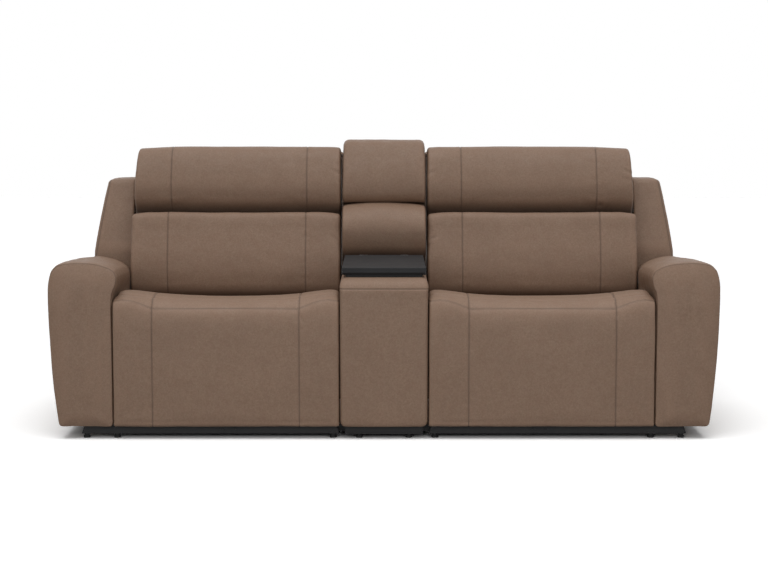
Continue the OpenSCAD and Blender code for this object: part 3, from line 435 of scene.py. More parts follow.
def leather_material():
    m, nt, bsdf = make_material("leather")
    co = object_place(nt)
    wear_and_highlight = add(nt, "ShaderNodeAttribute", attribute_name="wear_and_highlight").outputs["Fac"]
    seam = add(nt, "ShaderNodeAttribute", attribute_name="seam").outputs["Fac"]
    broad = ramp(nt, noise(nt, co, 7, 3), 0.3, 0.7, 0, 1)
    patch = ramp(nt, noise(nt, co, 46, 5, 0.65), 0.32, 0.68, 0, 1)
    speck = noise(nt, co, 165, 4, 0.75)
    cells = add(nt, "ShaderNodeTexVoronoi", {"Scale": 760, "Vector": co}, feature="F1")
    pebble = cells.outputs["Distance"]
    base = mix(nt, broad, LEATHER_DARK, LEATHER_LIGHT)
    base = mix(nt, ramp(nt, patch, 0, 1, 0, 0.45), base, LEATHER_PATCH)
    base = mix(nt, ramp(nt, speck, 0.38, 0.64, 0, 0.52), base, LEATHER_SPECK)
    # Lighter on outward curves: partly wear, partly a painted highlight.
    base = mix(nt, ramp(nt, wear_and_highlight, 0.1, 1, 0, 0.28), base, LEATHER_WEAR_AND_HIGHLIGHT)
    base = mix(nt, ramp(nt, pebble, 0.35, 0.75, 0, 0.26), base, LEATHER_PORE)
    # Darker on seam lines, and painted shade low on the fronts of the back pads and the lower
    # console pad.
    base = mix(nt, ramp(nt, seam, 0.12, 1, 0, 0.82), base, LEATHER_JOINT_AND_SHADE)
    soft = bump(nt, noise(nt, co, 26, 3), 0.004, 0.22)
    fine = bump(nt, noise(nt, co, 170, 4, 0.6), 0.0012, 0.32, soft)
    grain = bump(nt, ramp(nt, pebble, 0.1, 0.8, 1, 0), 0.0005, 0.5, fine)
    rough = ramp(nt, noise(nt, co, 30, 3), 0.3, 0.7, 0.5, 0.64)
    feed(nt, bsdf, {"Base Color": base, "Roughness": rough, "Normal": grain,
                    "Specular IOR Level": 0.38})
    return m


def thread_material():
    m, nt, bsdf = make_material("thread")
    twist = noise(nt, object_place(nt), 1400, 2)
    feed(nt, bsdf, {"Base Color": mix(nt, twist, srgb(70, 56, 47), srgb(112, 92, 78)),
                    "Roughness": 0.75, "Normal": bump(nt, twist, 0.0003, 0.5)})
    return m


def metal_material(name, dark, light, metallic, rough, streak):
    m, nt, bsdf = make_material(name)
    co = object_place(nt)
    n = noise(nt, stretched(nt, co, streak), 60, 4)
    edge = add(nt, "ShaderNodeNewGeometry").outputs["Pointiness"]
    colour = mix(nt, ramp(nt, n, 0.3, 0.7, 0, 1), dark, light)
    colour = mix(nt, ramp(nt, edge, 0.52, 0.6, 0, 0.6), colour, brighter(light, 1.6, 0.02))
    feed(nt, bsdf, {"Base Color": colour, "Roughness": ramp(nt, n, 0.3, 0.7, *rough),
                    "Metallic": metallic, "Specular IOR Level": 0.5 if metallic else 0.2,
                    "Normal": bump(nt, noise(nt, co, 900, 2), 0.0002, 0.35)})
    return m


def timber_material():
    m, nt, bsdf = make_material("timber")
    grain = stretched(nt, object_place(nt), (1.2, 14, 14))
    rings = noise(nt, grain, 6, 6, 0.6)
    fibres = noise(nt, grain, 60, 4, 0.7)
    base = mix(nt, ramp(nt, rings, 0.35, 0.65, 0, 1), srgb(168, 132, 92), srgb(204, 174, 132))
    base = mix(nt, ramp(nt, fibres, 0.45, 0.8, 0, 0.5), base, srgb(128, 92, 58))
    feed(nt, bsdf, {"Base Color": base, "Roughness": 0.72,
                    "Normal": bump(nt, fibres, 0.0005, 0.4)})
    return m


def plastic_material(name, dark, light):
    m, nt, bsdf = make_material(name)
    co = object_place(nt)
    speck = noise(nt, co, 1500, 2)
    cloud = noise(nt, co, 12, 3)
    base = mix(nt, ramp(nt, cloud, 0.3, 0.7, 0, 1), dark, light)
    base = mix(nt, ramp(nt, speck, 0.55, 0.8, 0, 0.3), base, brighter(light, 1.5))
    feed(nt, bsdf, {"Base Color": base, "Roughness": ramp(nt, cloud, 0.3, 0.7, 0.5, 0.6),
                    "Specular IOR Level": 0.07, "Normal": bump(nt, speck, 0.00015, 0.4)})
    return m


MATERIALS = {
    "leather": leather_material(),
    "thread": thread_material(),
    "timber": timber_material(),
    "steel": metal_material("steel", srgb(18, 18, 19), srgb(27, 27, 28), 0.0,
                            (0.42, 0.55), (1, 1, 1)),
    "zinc": metal_material("zinc", srgb(150, 150, 152), srgb(186, 187, 190), 1.0,
                           (0.28, 0.46), (1, 8, 1)),
    "wire": metal_material("wire", srgb(96, 97, 100), srgb(136, 137, 141), 1.0,
                           (0.3, 0.45), (1, 9, 1)),
    "plastic": plastic_material("plastic", srgb(46, 46, 47), srgb(53, 53, 54)),
    "plastic_light": plastic_material("plastic_light", srgb(70, 70, 72), srgb(84, 84, 86)),
}

slot_of = {s["node"]: s["material_slot"] for s in frame["record"]["subparts"]}
for node_name, node_obj in nodes.items():
    node_obj.data.materials.clear()
    node_obj.data.materials.append(MATERIALS[slot_of[node_name]])


# Stitches

STITCH_PITCH = 4.8
STITCH_HALF = 1.7
STITCH_END = 3.0
THREAD_SIDES = 5
# along the stitch, radius, height above the leather
THREAD_RINGS = ((0.0, 0.18, -0.15), (0.3, 0.42, 0.28), (0.7, 0.42, 0.28), (1.0, 0.18, -0.15))


def along_path(at, length, values):
    return np.array([np.interp(at, length, values[:, k]) for k in range(3)])


def stitches(name, paths, body, side):
    """One row of short threads along each path on the surface; a path is (points, normals)."""
    n_sides = THREAD_SIDES
    ring = [(math.cos(a), math.sin(a)) for a in np.arange(n_sides) * 2 * math.pi / n_sides]
    verts = []
    faces = []
    for points, normals in paths:
        length = arc_length(points)
        for s in np.arange(STITCH_END, length[-1] - STITCH_END, STITCH_PITCH):
            pa = along_path(s - STITCH_HALF, length, points)
            pb = along_path(s + STITCH_HALF, length, points)
            n = along_path(s, length, normals)
            t = (pb - pa) / (np.linalg.norm(pb - pa) + 1e-9)
            w = np.cross(t, n)
            w /= np.linalg.norm(w) + 1e-9
            start = len(verts)
            for f, r, lift in THREAD_RINGS:
                c = pa + (pb - pa) * f + n * lift
                for u, v in ring:
                    verts.append(c + w * u * r + n * v * r * 0.7)
            last = start + (len(THREAD_RINGS) - 1) * n_sides
            for q in range(start, last, n_sides):
                for j in range(n_sides):
                    after = (j + 1) % n_sides
                    faces.append((q + j, q + after, q + n_sides + after, q + n_sides + j))
            faces.append(tuple(start + j for j in range(n_sides))[::-1])
            faces.append(tuple(last + j for j in range(n_sides)))
    if side < 0:
        faces = [f[::-1] for f in faces]
    mesh = bpy.data.meshes.new(name)
    mesh.from_pydata(to_metres(np.array(verts), side).tolist(), [], faces)
    mesh.materials.append(MATERIALS["thread"])
    mesh.shade_smooth()
    obj = link(bpy.data.objects.new(name, mesh))
    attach(obj, body)
    return obj


# Pads

# Cloth travel that is kept: PUFF at most outward, and shares of it inward and sideways
PUFF = 2.2
PUFF_TURN = 2.8
SINK_SHARE = 0.3
SIDE_SHARE = 0.3
SEAM_DEPTH = 1.5
SEAM_WIDTH = 2.2
SEAM_MARK = 1.9
PUCKER = 0.4
UNEVEN = 0.8
STITCH_OFFSET = 6.0


class Pad:
    """One upholstered pad of the right unit: simulated once, then finished for each side."""

    def __init__(self, outline, x0, x1, seams, medial, shape, held, cap, shrink,
                 step=11.0, radius=(9.0, 9.0), inset=(8.0, 8.0), shown=None):
        loop, at = through(outline, step)
        self.shown = shown and (at[shown[0]], at[shown[1]])
        self.seams = seams
        self.mid = loop[:, 0].mean()
        places = stations(x0, x1, seams, step, radius, inset)
        xs = np.array([s[0] for s in places])
        scale = np.array([s[2] for s in places])
        # 1 where the outline may move, 0 where it rests on something
        free = 1 - np.clip(held(loop[:, 0], loop[:, 1]), 0, 1)
        shrunk = loop - loop_normals(loop) * shrink * free[:, None]
        start = pad_grid(shrunk, places, medial, shape)
        full = pad_grid(loop, places, medial, shape)
        pins = np.zeros(start.shape[:2])
        for s in seams:
            pins[np.abs(xs - s) < 0.5] = 1.0
        pins = np.maximum(pins, (1 - free)[None, :])
        pins[scale < 0.1] = 1.0
        moved = inflate(start, pins, cap)
        n = grid_normals(full)
        off = np.sum((moved - full) * n, axis=2)
        kept = np.where(off < 0, off * SINK_SHARE, PUFF * np.tanh(off / PUFF_TURN))
        moved = moved + n * (kept - off)[..., None]
        moved[..., 0] = full[..., 0] + SIDE_SHARE * (moved[..., 0] - full[..., 0])
        self.grid = refine(moved)
        self.x = spread(xs)


def seam_columns(pad, p):
    """Grooves along the straight seams of a pad, and the small puckers beside them."""
    mark = np.zeros(p.shape[:2])
    move = np.zeros(p.shape[:2])
    along = np.cumsum(np.linalg.norm(np.roll(p, -1, 1) - p, axis=2), axis=1)
    for k, s in enumerate(pad.seams):
        d = pad.x[:, None] - s + np.zeros(p.shape[:2])
        move -= SEAM_DEPTH * gauss(d, SEAM_WIDTH)
        sway = np.sin(along / 5.1 + 2.4 * k) + 0.6 * np.sin(along / 8.3 + 1.1 + k)
        move += PUCKER * sway * gauss(np.abs(d) - 7, 7.0)
        mark = np.maximum(mark, gauss(d, SEAM_MARK))
    return move, mark


def crease(p, centre, along, length, width, depth):
    """Soft fold on the surface: a dip with a low ridge on each side."""
    a = np.array(along, float)
    a /= np.linalg.norm(a)
    r = p - np.array(centre, float)
    u = r @ a
    w = np.linalg.norm(r - u[..., None] * a, axis=2)
    fade = gauss(u, length)
    return fade * depth * (-gauss(w, width) + 0.45 * gauss(w - 1.9 * width, width))


def finish_pad(pad, name, body, side, replaced, seed, folds=(), rows=(), painted_shade_band=None):
    """Seams, folds and stitches on one side's copy of a pad, and painted shade low on its front.
    """
    p = pad.grid
    move, mark = seam_columns(pad, p)
    for line, depth, width in rows:
        d = line(p)
        move -= depth * gauss(d, width)
        mark = np.maximum(mark, gauss(d, width * 0.8))
    # Painted shade: the front half darkens towards the bottom of the band, where the pad meets the
    # part below.
    if painted_shade_band:
        start, end = painted_shade_band
        dark = np.clip((start - p[..., 2]) / (start - end), 0, 1) ** 1.5
        mark = np.maximum(mark, dark * (p[..., 1] < pad.mid))
    for f in folds:
        move += crease(p, *f)
    move += UNEVEN * waves(p, seed + (side > 0) * 50, 190) + 0.35 * UNEVEN * waves(p, seed + 9, 60)
    p = offset(p, move)
    obj = piece(name, p, body, mark, side)
    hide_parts(replaced)
    if pad.seams:
        surface = grid_normals(p)
        first, last = pad.shown
        run = np.arange(2 * first, 2 * last + 1) % p.shape[1]
        rows_at = [int(np.argmin(np.abs(pad.x - (s + sign * STITCH_OFFSET))))
                   for s in pad.seams for sign in (-1, 1)]
        stitches(name + "_stitches", [(p[i, run], surface[i, run]) for i in rows_at], body, side)


def arc(centre, radius, start, end, step):
    return [(centre[0] + radius * math.cos(math.radians(a)),
             centre[1] + radius * math.sin(math.radians(a))) for a in np.arange(start, end, step)]


def smile(x):
    """Rise of the seat's crest over its two raised sides."""
    return np.interp(
        x, [153, 195, 223, 258, 304, 361, 447, 533, 619, 705, 762, 819, 860, 888, 918],
        [24, 23.5, 20.5, 15.5, 9.6, 5, 1.4, 0, 1.4, 5.2, 10, 16.4, 21.6, 23.6, 24])


def lobe_lift(x):
    """Rise of the sewn line across the front of the seat over each raised side."""
    out = np.maximum(SEAT_SEAMS[0] - x, x - SEAT_SEAMS[1])
    return np.interp(out, [-60, -10, 0, 18, 44, 71, 99, 128], [0, 0.3, 2, 8, 18, 26.5, 29.5, 25.5])


def quarter_drop(t):
    """Fall of a rounded corner, 0 to 1."""
    return 1 - np.sqrt(1 - t ** 2)


def corner_drop(x):
    """Fall of the seat's top at its rounded ends."""
    outer = grow(x, SEAT_OUT - 22, 23.5)
    inner = grow(x, SEAT_IN + 20, -20.5)
    return 20 * quarter_drop(outer) + 14 * quarter_drop(inner)


def from_side(x):
    return np.minimum(x - BACK_IN, BACK_OUT - x)


# Each shape function bends a pad's grid in place

def seat_shape(g):
    x, z = g[..., 0], g[..., 2]
    g[..., 2] = z + (smile(x) - corner_drop(x)) * grow(z, 400, 30)
    return g


def front_shape(g):
    x, z = g[..., 0], g[..., 2]
    top = grow(z, 452, 14)
    lift = (smile(x) - corner_drop(x)) * top + lobe_lift(x) * (1 - top)
    g[..., 2] = z + lift * grow(z, 400, 40)
    return g


def lumbar_shape(g):
    x, z = g[..., 0], g[..., 2]
    g[..., 2] = z - 8 * np.clip(1 - from_side(x) / 75, 0, 1) ** 2 * grow(z, 640, 90)
    return g


def head_shape(g):
    x, z = g[..., 0], g[..., 2]
    outer = grow(x, HEAD_SEAMS[1], BACK_OUT - 10 - HEAD_SEAMS[1])
    inner = np.clip(1 - (x - BACK_IN) / 60, 0, 1)
    near = np.clip(1 - from_side(x) / 70, 0, 1)
    low = grow(z, 800, -60) * (g[..., 1] < 690)
    g[..., 2] = z - (7 * outer + 3 * inner ** 2) * grow(z, 860, 90) - 6 * near ** 2 * low
    g[..., 0] = x - np.where(x > 900, 9.0, 0.0) * grow(z, 800, 170) * grow(x, 900, 27)
    return g


def bolster_shape(g):
    x, z = g[..., 0], g[..., 2]
    g[..., 2] = z - 10 * np.abs(x / 154.5) ** 2 * grow(z, 660, 90)
    return g


def console_head_shape(g):
    x, z = g[..., 0], g[..., 2]
    g[..., 2] = z - 21 * quarter_drop(grow(np.abs(x), 130, 24.6)) * grow(z, 930, 50)
    return g


# Each pad: outline in the side view, ends across, seams, middle line, shape, where it is held
SEAT = Pad(
    [(144, SEAT_LOW), (100, 384), (78, 402), (73, 424), (73.5, 452), (78, 464), (92, 471.5),
     (128, 475.5), (190, 472.5), (300, 457), (420, 435), (520, 413), (575, 400), (612, 394),
     (628, 386), (631, SEAT_LOW), (400, SEAT_LOW)],
    SEAT_IN - 0.5, SEAT_OUT + 1.5, SEAT_SEAMS, [(130, 425), (560, 405)], seat_shape,
    lambda d, z: (z < 392) * 1.0 + (d < 74.5) * 0.6, cap=12, shrink=9,
    radius=(8, 14), inset=(7, 10), shown=(3, 12))

FRONT = Pad(
    [(9, 45), (3, 49), (1.2, 60), (1, 125), (1, 200), (1.5, 330), (4, 412), (9, 436), (16, 448),
     (34, 460), (56, 468), (65, 466), (67.6, 456), (67.6, 388), (77, 366), (79.6, 350),
     (79.6, 100), (74, 55), (64, 46)],
    SEAT_IN - 0.5, SEAT_OUT + 1.5, SEAT_SEAMS, [(40, 90), (36, 410)], front_shape,
    lambda d, z: (d > 60) * 1.0 + (z < 50) * 1.0, cap=10, shrink=7,
    radius=(8, 6), inset=(7, 5), shown=(2, 10))

LUMBAR = Pad(
    [(612, 421), (597, 429), (588, 441), (581, 462), (577, 490), (575.5, 520), (579, 552),
     (587, 590), (601, 635), (614, 677), (622, 707), (630, 727), (646, LUMBAR_TOP)]
    + arc(HEAD_PIVOT, HEAD_SWING, 212, 275, 20) + [(post_d(680) - 9, 680)]
    + [(post_d(z) - 1, z) for z in (660, 560, 440)] + [(post_d(420) - 12, 421)],
    BACK_IN + 1, BACK_OUT - 1, LUMBAR_SEAMS, [(640, 470), (690, 670)], lumbar_shape,
    lambda d, z: (d > post_d(z) - 14) * 1.0 + (z < 426) * 1.0, cap=12, shrink=9, shown=(1, 12))

HEAD = Pad(
    arc(HEAD_PIVOT, HEAD_RADIUS, 270, 230, -22)
    + [(680, 722), (680.5, 730), (677, 738), (671, 746), (664, 755), (656, 766), (649.5, 781),
       (645, 800), (643, 822), (645, 842), (652, 868), (667.5, 908), (687, 943), (709, 965),
       (740, 975), (head_back(974) - 20, 965)]
    + [(head_back(z) - 1, z) for z in (940, 850, 768)] + [(742, 717)],
    BACK_IN + 1, BACK_OUT - 10, HEAD_SEAMS, [(705, 790), (770, 920)], head_shape,
    lambda d, z: (d > head_back(z) - 14) * 1.0, cap=13, shrink=10, shown=(5, 18))

BOLSTER = Pad(
    [(628, CONSOLE_PAD_LOW), (606, 561), (590, 582), (573, 610), (560, 645), (556, 682),
     (568, 720), (592, 748), (616, 762), (641, 768), (tower_front(768) - 15, 767)]
    + [(tower_front(z) - 1, z) for z in (756, 660, 565)]
    + [(tower_front(552) - 9, CONSOLE_PAD_LOW)],
    -152.5, 152.5, (), [(640, 620), (680, 700)], bolster_shape,
    lambda d, z: (d > tower_front(z) - 14) * 1.0 + (z < 555) * 1.0, cap=10, shrink=8,
    step=9, radius=(6, 6), inset=(4, 4))

CONSOLE_HEAD = Pad(
    [(CONSOLE_PAD_FRONT + d, z) for d, z in (
        (38, 769.4), (16, 775), (3, 795), (0, 831), (10, 879), (34, 929), (62, 970), (82, 990),
        (112, 998))]
    + [(834, 997), (854, 986), (851, 969), (tower_front(962) - 2, 965)]
    + [(tower_front(z) - 1, z) for z in (884, 771)],
    -152.5, 152.5, (), [(730, 820), (770, 930)], console_head_shape,
    lambda d, z: (d > tower_front(z) - 14) * (z < 962) * 1.0 + (z < 771) * 1.0, cap=10, shrink=8,
    step=9, radius=(7, 7), inset=(5, 5))


def front_seam(p):
    """Height above the sewn line across the front of the seat."""
    d = p[..., 2] - (448 + lobe_lift(p[..., 0]))
    return np.where(p[..., 1] < 45, d, FAR)


def finish_seat(side, unit):
    """The four pads of one seat. Folds are (centre, direction, length, width, depth)."""
    inner, outer = SEAT_SEAMS
    finish_pad(SEAT, unit + "_seat_pad", unit + "_carriage", side, unit + "_seat_cushion", 3,
               folds=[((SEAT_IN + 60, 150, 495), (1, 0.3, 0), 30, 6, 0.9),
                      ((SEAT_OUT - 50, 160, 497), (1, -0.4, 0), 34, 6, 0.9),
                      ((inner, 540, 440), (0.3, 1, 0), 36, 7, 1.4),
                      ((outer, 540, 440), (-0.3, 1, 0), 36, 7, 1.4),
                      ((SEAT_IN + 6, 610, 480), (0.2, 1, 0.1), 40, 7, 1.6)])
    finish_pad(FRONT, unit + "_front_pad", unit + "_legrest", side, unit + "_legrest_pad", 5,
               rows=[(front_seam, 1.6, 2.4)],
               folds=[((inner - 6, 8, 420), (0.5, 0, 1), 22, 5, 0.8),
                      ((outer + 6, 8, 420), (-0.5, 0, 1), 22, 5, 0.8)])
    # The right lumbar pad and head rest have the deeper folds of the photograph
    pull = 3.0 if side > 0 else 1.6
    # The lumbar pad and head rest are given painted shade along their lower front edges.
    finish_pad(LUMBAR, unit + "_lumbar", unit + "_back", side, unit + "_lumbar_pad", 7,
               painted_shade_band=(488, 430),
               folds=[((BACK_IN + 14, 600, 640), (1, 0.1, 0.5), 26, 6, pull),
                      ((BACK_IN + 12, 604, 615), (1, 0.1, 0.3), 22, 5, 0.8 * pull),
                      ((LUMBAR_SEAMS[0], 566, 470), (0.6, 0, 1), 28, 7, 1.2)])
    folds = [((BACK_IN + 10, 660, 880), (1, 0.2, 0.5), 24, 6, 1.8),
             ((BACK_IN + 12, 655, 850), (1, 0.2, 0.35), 26, 5, 1.5)]
    if side > 0:
        folds += [((LUMBAR_SEAMS[1] + 12, 668, 770), (0.5, 0.2, 1), 30, 7, 3.6),
                  ((BACK_OUT - 26, 665, 880), (1, 0.2, -0.6), 26, 6, 1.9),
                  ((BACK_OUT - 22, 655, 850), (1, 0.2, -0.4), 24, 6, 1.6)]
    finish_pad(HEAD, unit + "_head_pad", unit + "_headrest", side, unit + "_headrest_pad", 9,
               painted_shade_band=(796, 735), folds=folds)


for side, unit in SIDES:
    finish_seat(side, unit)
# The lower console pad is given painted shade along its lower front edge.
finish_pad(BOLSTER, "console_lower_pad", "base", 1, "console_bolster", 21, painted_shade_band=(625, 585))
finish_pad(CONSOLE_HEAD, "console_upper_pad", "base", 1, "console_headrest", 23,
           folds=[((150, 690, 880), (1, 0, 0.4), 26, 5, 1.6),
                  ((150, 680, 860), (1, 0, 0.2), 22, 5, 1.3)])


# Arms

ARM_START = 10
ARM_WING = 690
ARM_ROUND = 862
ARM_STEP = 12.0
ARM_FOOT = 60
SIDE_HEIGHTS = (90, 150, 215, 280, 345, 410, 460, 497)
PLATE_D, PLATE_Z = 340, 450


def swell(z, peak):
    """Outer side of the arm, furthest out at the peak height."""
    return ARM_OUT - 30 * ((peak - z) / (peak - 44)) ** 2


def at_wing(z):
    """Height at the wing of a place on the side of the arm's front."""
    return 44 + (z - 44) * 0.93


ARM_FRONT = (
    [(928, 44.5), (982, 44.2), (1058, 44.2), (1101, 44.8), (1107, 50)]
    + [(swell(z, 497), z) for z in SIDE_HEIGHTS]
    + [(1137, 530), (1132.5, 557), (1125, 577), (1113, 590), (1094, 598), (1062, 602.4),
       (1029, 603), (1002, 602.2), (975, 598.5), (948, 592), (929, 584), (912, 572), (905, 556),
       (905.5, 538), (911, 518), (918.5, 500), (922, 470), (922, 380), (922, 280), (922, 180),
       (922, 100), (922.8, 52)])
ARM_REAR = (
    [(952, 44.5), (1000, 44.2), (1058, 44.2), (1101, 44.8), (1107, 50)]
    + [(swell(at_wing(z), 466), at_wing(z)) for z in SIDE_HEIGHTS]
    + [(1136, 498), (1130, 522), (1120, 541), (1107, 555), (1094, 563), (1072, 567.5),
       (1051, 566), (1030, 562), (1008, 555.5), (988, 547.5), (971, 537.5), (957.5, 525),
       (949.5, 510), (946.5, 494), (946, 478), (946, 462), (946, 440), (946, 370), (946, 280),
       (946, 180), (946, 100), (946.8, 52)])


def arm_section(t, counts):
    """Outline of an arm in the (x, z) plane, from its front (0) to its wing (1)."""
    a, b = np.array(ARM_FRONT), np.array(ARM_REAR)
    return through((a + (b - a) * t).tolist(), ARM_STEP, counts=counts)[0]


def arm_lean(z):
    """How far the arm's front leans back near its top."""
    return 13 * grow(z, 455, 148) ** 1.6


def arm_ring(d, counts):
    """Cross-section of the arm at a depth."""
    q = arm_section((min(d, ARM_WING) / ARM_WING) ** 1.4, counts)
    behind = d - ARM_START
    inset = 2.6 * max(0, 1 - behind / 12) ** 2 if behind < 12 else 0
    if d > ARM_ROUND:
        inset = 14 * (1 - math.sqrt(max(0, 1 - ((d - ARM_ROUND) / 18) ** 2)))
    q = q - loop_normals(q) * inset
    x, z = q[:, 0], q[:, 1]
    # the top steps down behind the front of the wing
    fall = np.interp(d, [676, 684, 690, 693, 696, 699, 702, 706, 712],
                     [0, 3, 14, 42, 80, 118, 146, 157, 160])
    z = np.where(z > 200, 200 + (z - 200) * (366 - fall) / 366, z)
    z = z + 5 * grow(z, 520, 60) * (1 - math.exp(-behind / 35)) * max(0, 1 - d / 600)
    return np.column_stack([x, d + arm_lean(z) * max(0, 1 - behind / 90), z])


def arm_grid():
    """Arm from the middle of its front face, along the arm, to the middle of its rear face."""
    lengths = [math.dist(a, b) for a, b in zip(ARM_FRONT, ARM_FRONT[1:] + ARM_FRONT[:1])]
    counts = [max(1, int(round(v / ARM_STEP))) for v in lengths]
    shares = (0.05, 0.22, 0.42, 0.62, 0.8, 0.92, 0.975)
    depths = ([10.0, 12.5, 16.0, 21.0, 28.0] + list(np.linspace(39, 664, 50))
              + [672, 678, 683, 687, 690, 693, 696, 699, 702, 706, 712]
              + list(np.linspace(726, ARM_ROUND, 11)) + [870, 876, 879.5])
    rows = []
    for k, q in zip(shares, drawn_in(arm_section(0, counts), [(1030, 110), (1030, 510)], shares)):
        d = ARM_START - 9.0 * (1 - k ** 3) + arm_lean(q[:, 1])
        rows.append(np.column_stack([q[:, 0], d, q[:, 1]]))
    rows += [arm_ring(d, counts) for d in depths]
    for q in drawn_in(rows[-1][:, [0, 2]], [(1030, 110), (1030, 350)], (0.8, 0.5, 0.2, 0.05)):
        rows.append(np.column_stack([q[:, 0], np.full(len(q), BASE_REAR), q[:, 1]]))
    return np.array(rows)


def plate_hollow(p):
    """1 in the hollow round the switch plate, 0 outside it."""
    along = grow(np.abs(p[..., 1] - PLATE_D), 46, 9)
    up = grow(np.abs(p[..., 2] - PLATE_Z), 28, 9)
    return (1 - along) * (1 - up) * (p[..., 0] > 1090)


def build_arms():
    arm = refine(arm_grid())
    edge = arm[..., 1] - ARM_START - arm_lean(arm[..., 2]) - 1.5
    dish = plate_hollow(arm)
    beside_seat = (arm[..., 0] < ARM_IN + 40) & (arm[..., 2] < 505)
    for side, unit in SIDES:
        move = 0.9 * waves(arm, 31 + side, 230) + 0.3 * waves(arm, 33 + side, 70)
        move -= 1.6 * (gauss(edge, 2.2) * (arm[..., 2] > ARM_FOOT))
        move = move * (1 - dish) - 5.0 * dish * dish * (3 - 2 * dish)
        move = np.where(beside_seat, np.minimum(move, 0.2), move)
        p = offset(arm, move)
        mark = 0.85 * gauss(edge, 2.0) * (p[..., 2] > ARM_FOOT)
        obj = piece(unit + "_arm", p, "base", mark, side)
        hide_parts(unit + "_arm_cover")


# Forms from stacked rings

def ring_of(x0, x1, d0, d1, radii, per_side, per_corner):
    """Rounded rectangle in plan. Radii are for (x0,d0), (x1,d0), (x1,d1), (x0,d1)."""
    corners = []
    for r, cx, cd, turn in zip(radii, (x0, x1, x1, x0), (d0, d0, d1, d1), (180, 270, 0, 90)):
        corners.append((cx + (r if cx == x0 else -r), cd + (r if cd == d0 else -r), r, turn))
    pts = []
    for i, (cx, cd, r, turn) in enumerate(corners):
        for k in range(per_corner + 1):
            a = math.radians(turn + 90 * k / per_corner)
            pts.append((cx + r * math.cos(a), cd + r * math.sin(a)))
        nx, nd, nr, next_turn = corners[(i + 1) % 4]
        a = math.radians(next_turn)
        end = (nx + nr * math.cos(a), nd + nr * math.sin(a))
        begin = pts[-1]
        for k in range(1, per_side):
            t = k / per_side
            pts.append((begin[0] + (end[0] - begin[0]) * t, begin[1] + (end[1] - begin[1]) * t))
    return np.array(pts)


def stack(levels):
    """Grid from (z or array, ring) levels."""
    return np.array([np.column_stack([r, np.zeros(len(r)) + z]) for z, r in levels])


# Wings

WING_LOW = 470
WING_TOP = 846
WING_ROUND = 829


def wing_narrow(z):
    """How far the wing's outer side has come in at a height."""
    return np.interp(z, [470, 563, 853], [0, 0, 44])


def wing_front(z):
    return np.interp(z, [470, 590, 853], [708, 720, 824])


def wing_grid():
    heights = list(np.linspace(WING_LOW, WING_ROUND, 20)) + [834, 838.5, 842, 844.5, WING_TOP]
    rings = ([(WING_LOW, inset, lift) for inset, lift in ((22, -2), (7, -2), (2.5, -1.5))]
             + [(z, 0.0, 0) for z in heights]
             + [(WING_TOP, inset, lift) for inset, lift in ((4, 1.2), (10, 2), (20, 2), (32, 2))])
    levels = []
    for z, inset, lift in rings:
        corner = 17 - math.sqrt(17 ** 2 - max(0, z - WING_ROUND) ** 2)
        edge = WING_OUT - wing_narrow(z) - corner
        front = wing_front(z) + 0.6 * corner
        ring = ring_of(WING_IN + inset * 0.5, edge - inset, front + inset,
                       rear_d(z) - 3 - inset, (7, 24, 18, 6), 12, 6)
        across = grow(ring[:, 0], WING_IN, edge - WING_IN)
        bulge = 4 * across * (1 - across) * 7
        facing = np.clip(1 - (ring[:, 1] - front) / 30, 0, 1)
        ring[:, 1] -= bulge * facing * 0.9 - 4 * facing
        slant = 0.7 * (ring[:, 1] - 708) * (1 - (z - WING_LOW) / 383)
        levels.append((z + slant + lift, ring))
    return stack(levels)


def build_wings():
    wing = refine(wing_grid())
    x, d, z = wing[..., 0], wing[..., 1], wing[..., 2]
    seam = WING_OUT - wing_narrow(z) - x - 7
    on_front = d < wing_front(z) + 24
    for side, unit in SIDES:
        move = (-1.4 * gauss(seam, 2.6) * on_front + 0.8 * waves(wing, 41 + side, 170)
                + 0.3 * waves(wing, 44, 60))
        mark = 0.8 * gauss(seam, 2.0) * on_front
        obj = piece(unit + "_wing_pad", offset(wing, move), unit + "_back", mark, side)
        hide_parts(unit + "_wing")


# Outside back, cheeks, head back and skirt

SHEET_STEP = 16.0
BACK_THICK = 15.0
REST_THICK = 3.6
SKIRT_THICK = 3.0
CHEEK_LOW = 401
CHEEK_TOP = 932
CHEEK_WIDTH = 17
ROLL_D = rear_d(950)


def sheet_grid(path, x0, x1, thick):
    """Closed thick sheet: a path in the side view carried across, with rounded borders."""
    line, _ = through(path, SHEET_STEP, closed=False)
    t = np.gradient(line, axis=0)
    t /= np.linalg.norm(t, axis=1)[:, None]
    n = np.stack([t[:, 1], -t[:, 0]], 1)
    s = arc_length(line)
    xs = np.concatenate([[x0, x0 + 1.5, x0 + 5],
                         np.linspace(x0 + 12, x1 - 12, int((x1 - x0) / SHEET_STEP)),
                         [x1 - 5, x1 - 1.5, x1]])
    half_t = thick / 2
    ends = np.minimum(s, s[-1] - s)
    end_t = np.where(ends < half_t,
                     np.sqrt(np.clip(1 - (1 - ends / half_t) ** 2, 0.0004, 1)), 1.0)
    rows = []
    for x in xs:
        e = min(x - x0, x1 - x)
        side_t = half_t
        if e < half_t:
            side_t = half_t * math.sqrt(max(0.0, 1 - max(0.0, 1 - e / half_t) ** 2))
        half = np.maximum(side_t, 0.15) * end_t
        outer = line + n * (half - half_t)[:, None]
        inner = line - n * (half + half_t)[:, None]
        ring = np.vstack([outer, inner[::-1]])
        rows.append(np.column_stack([np.full(len(ring), x), ring]))
    return np.array(rows)


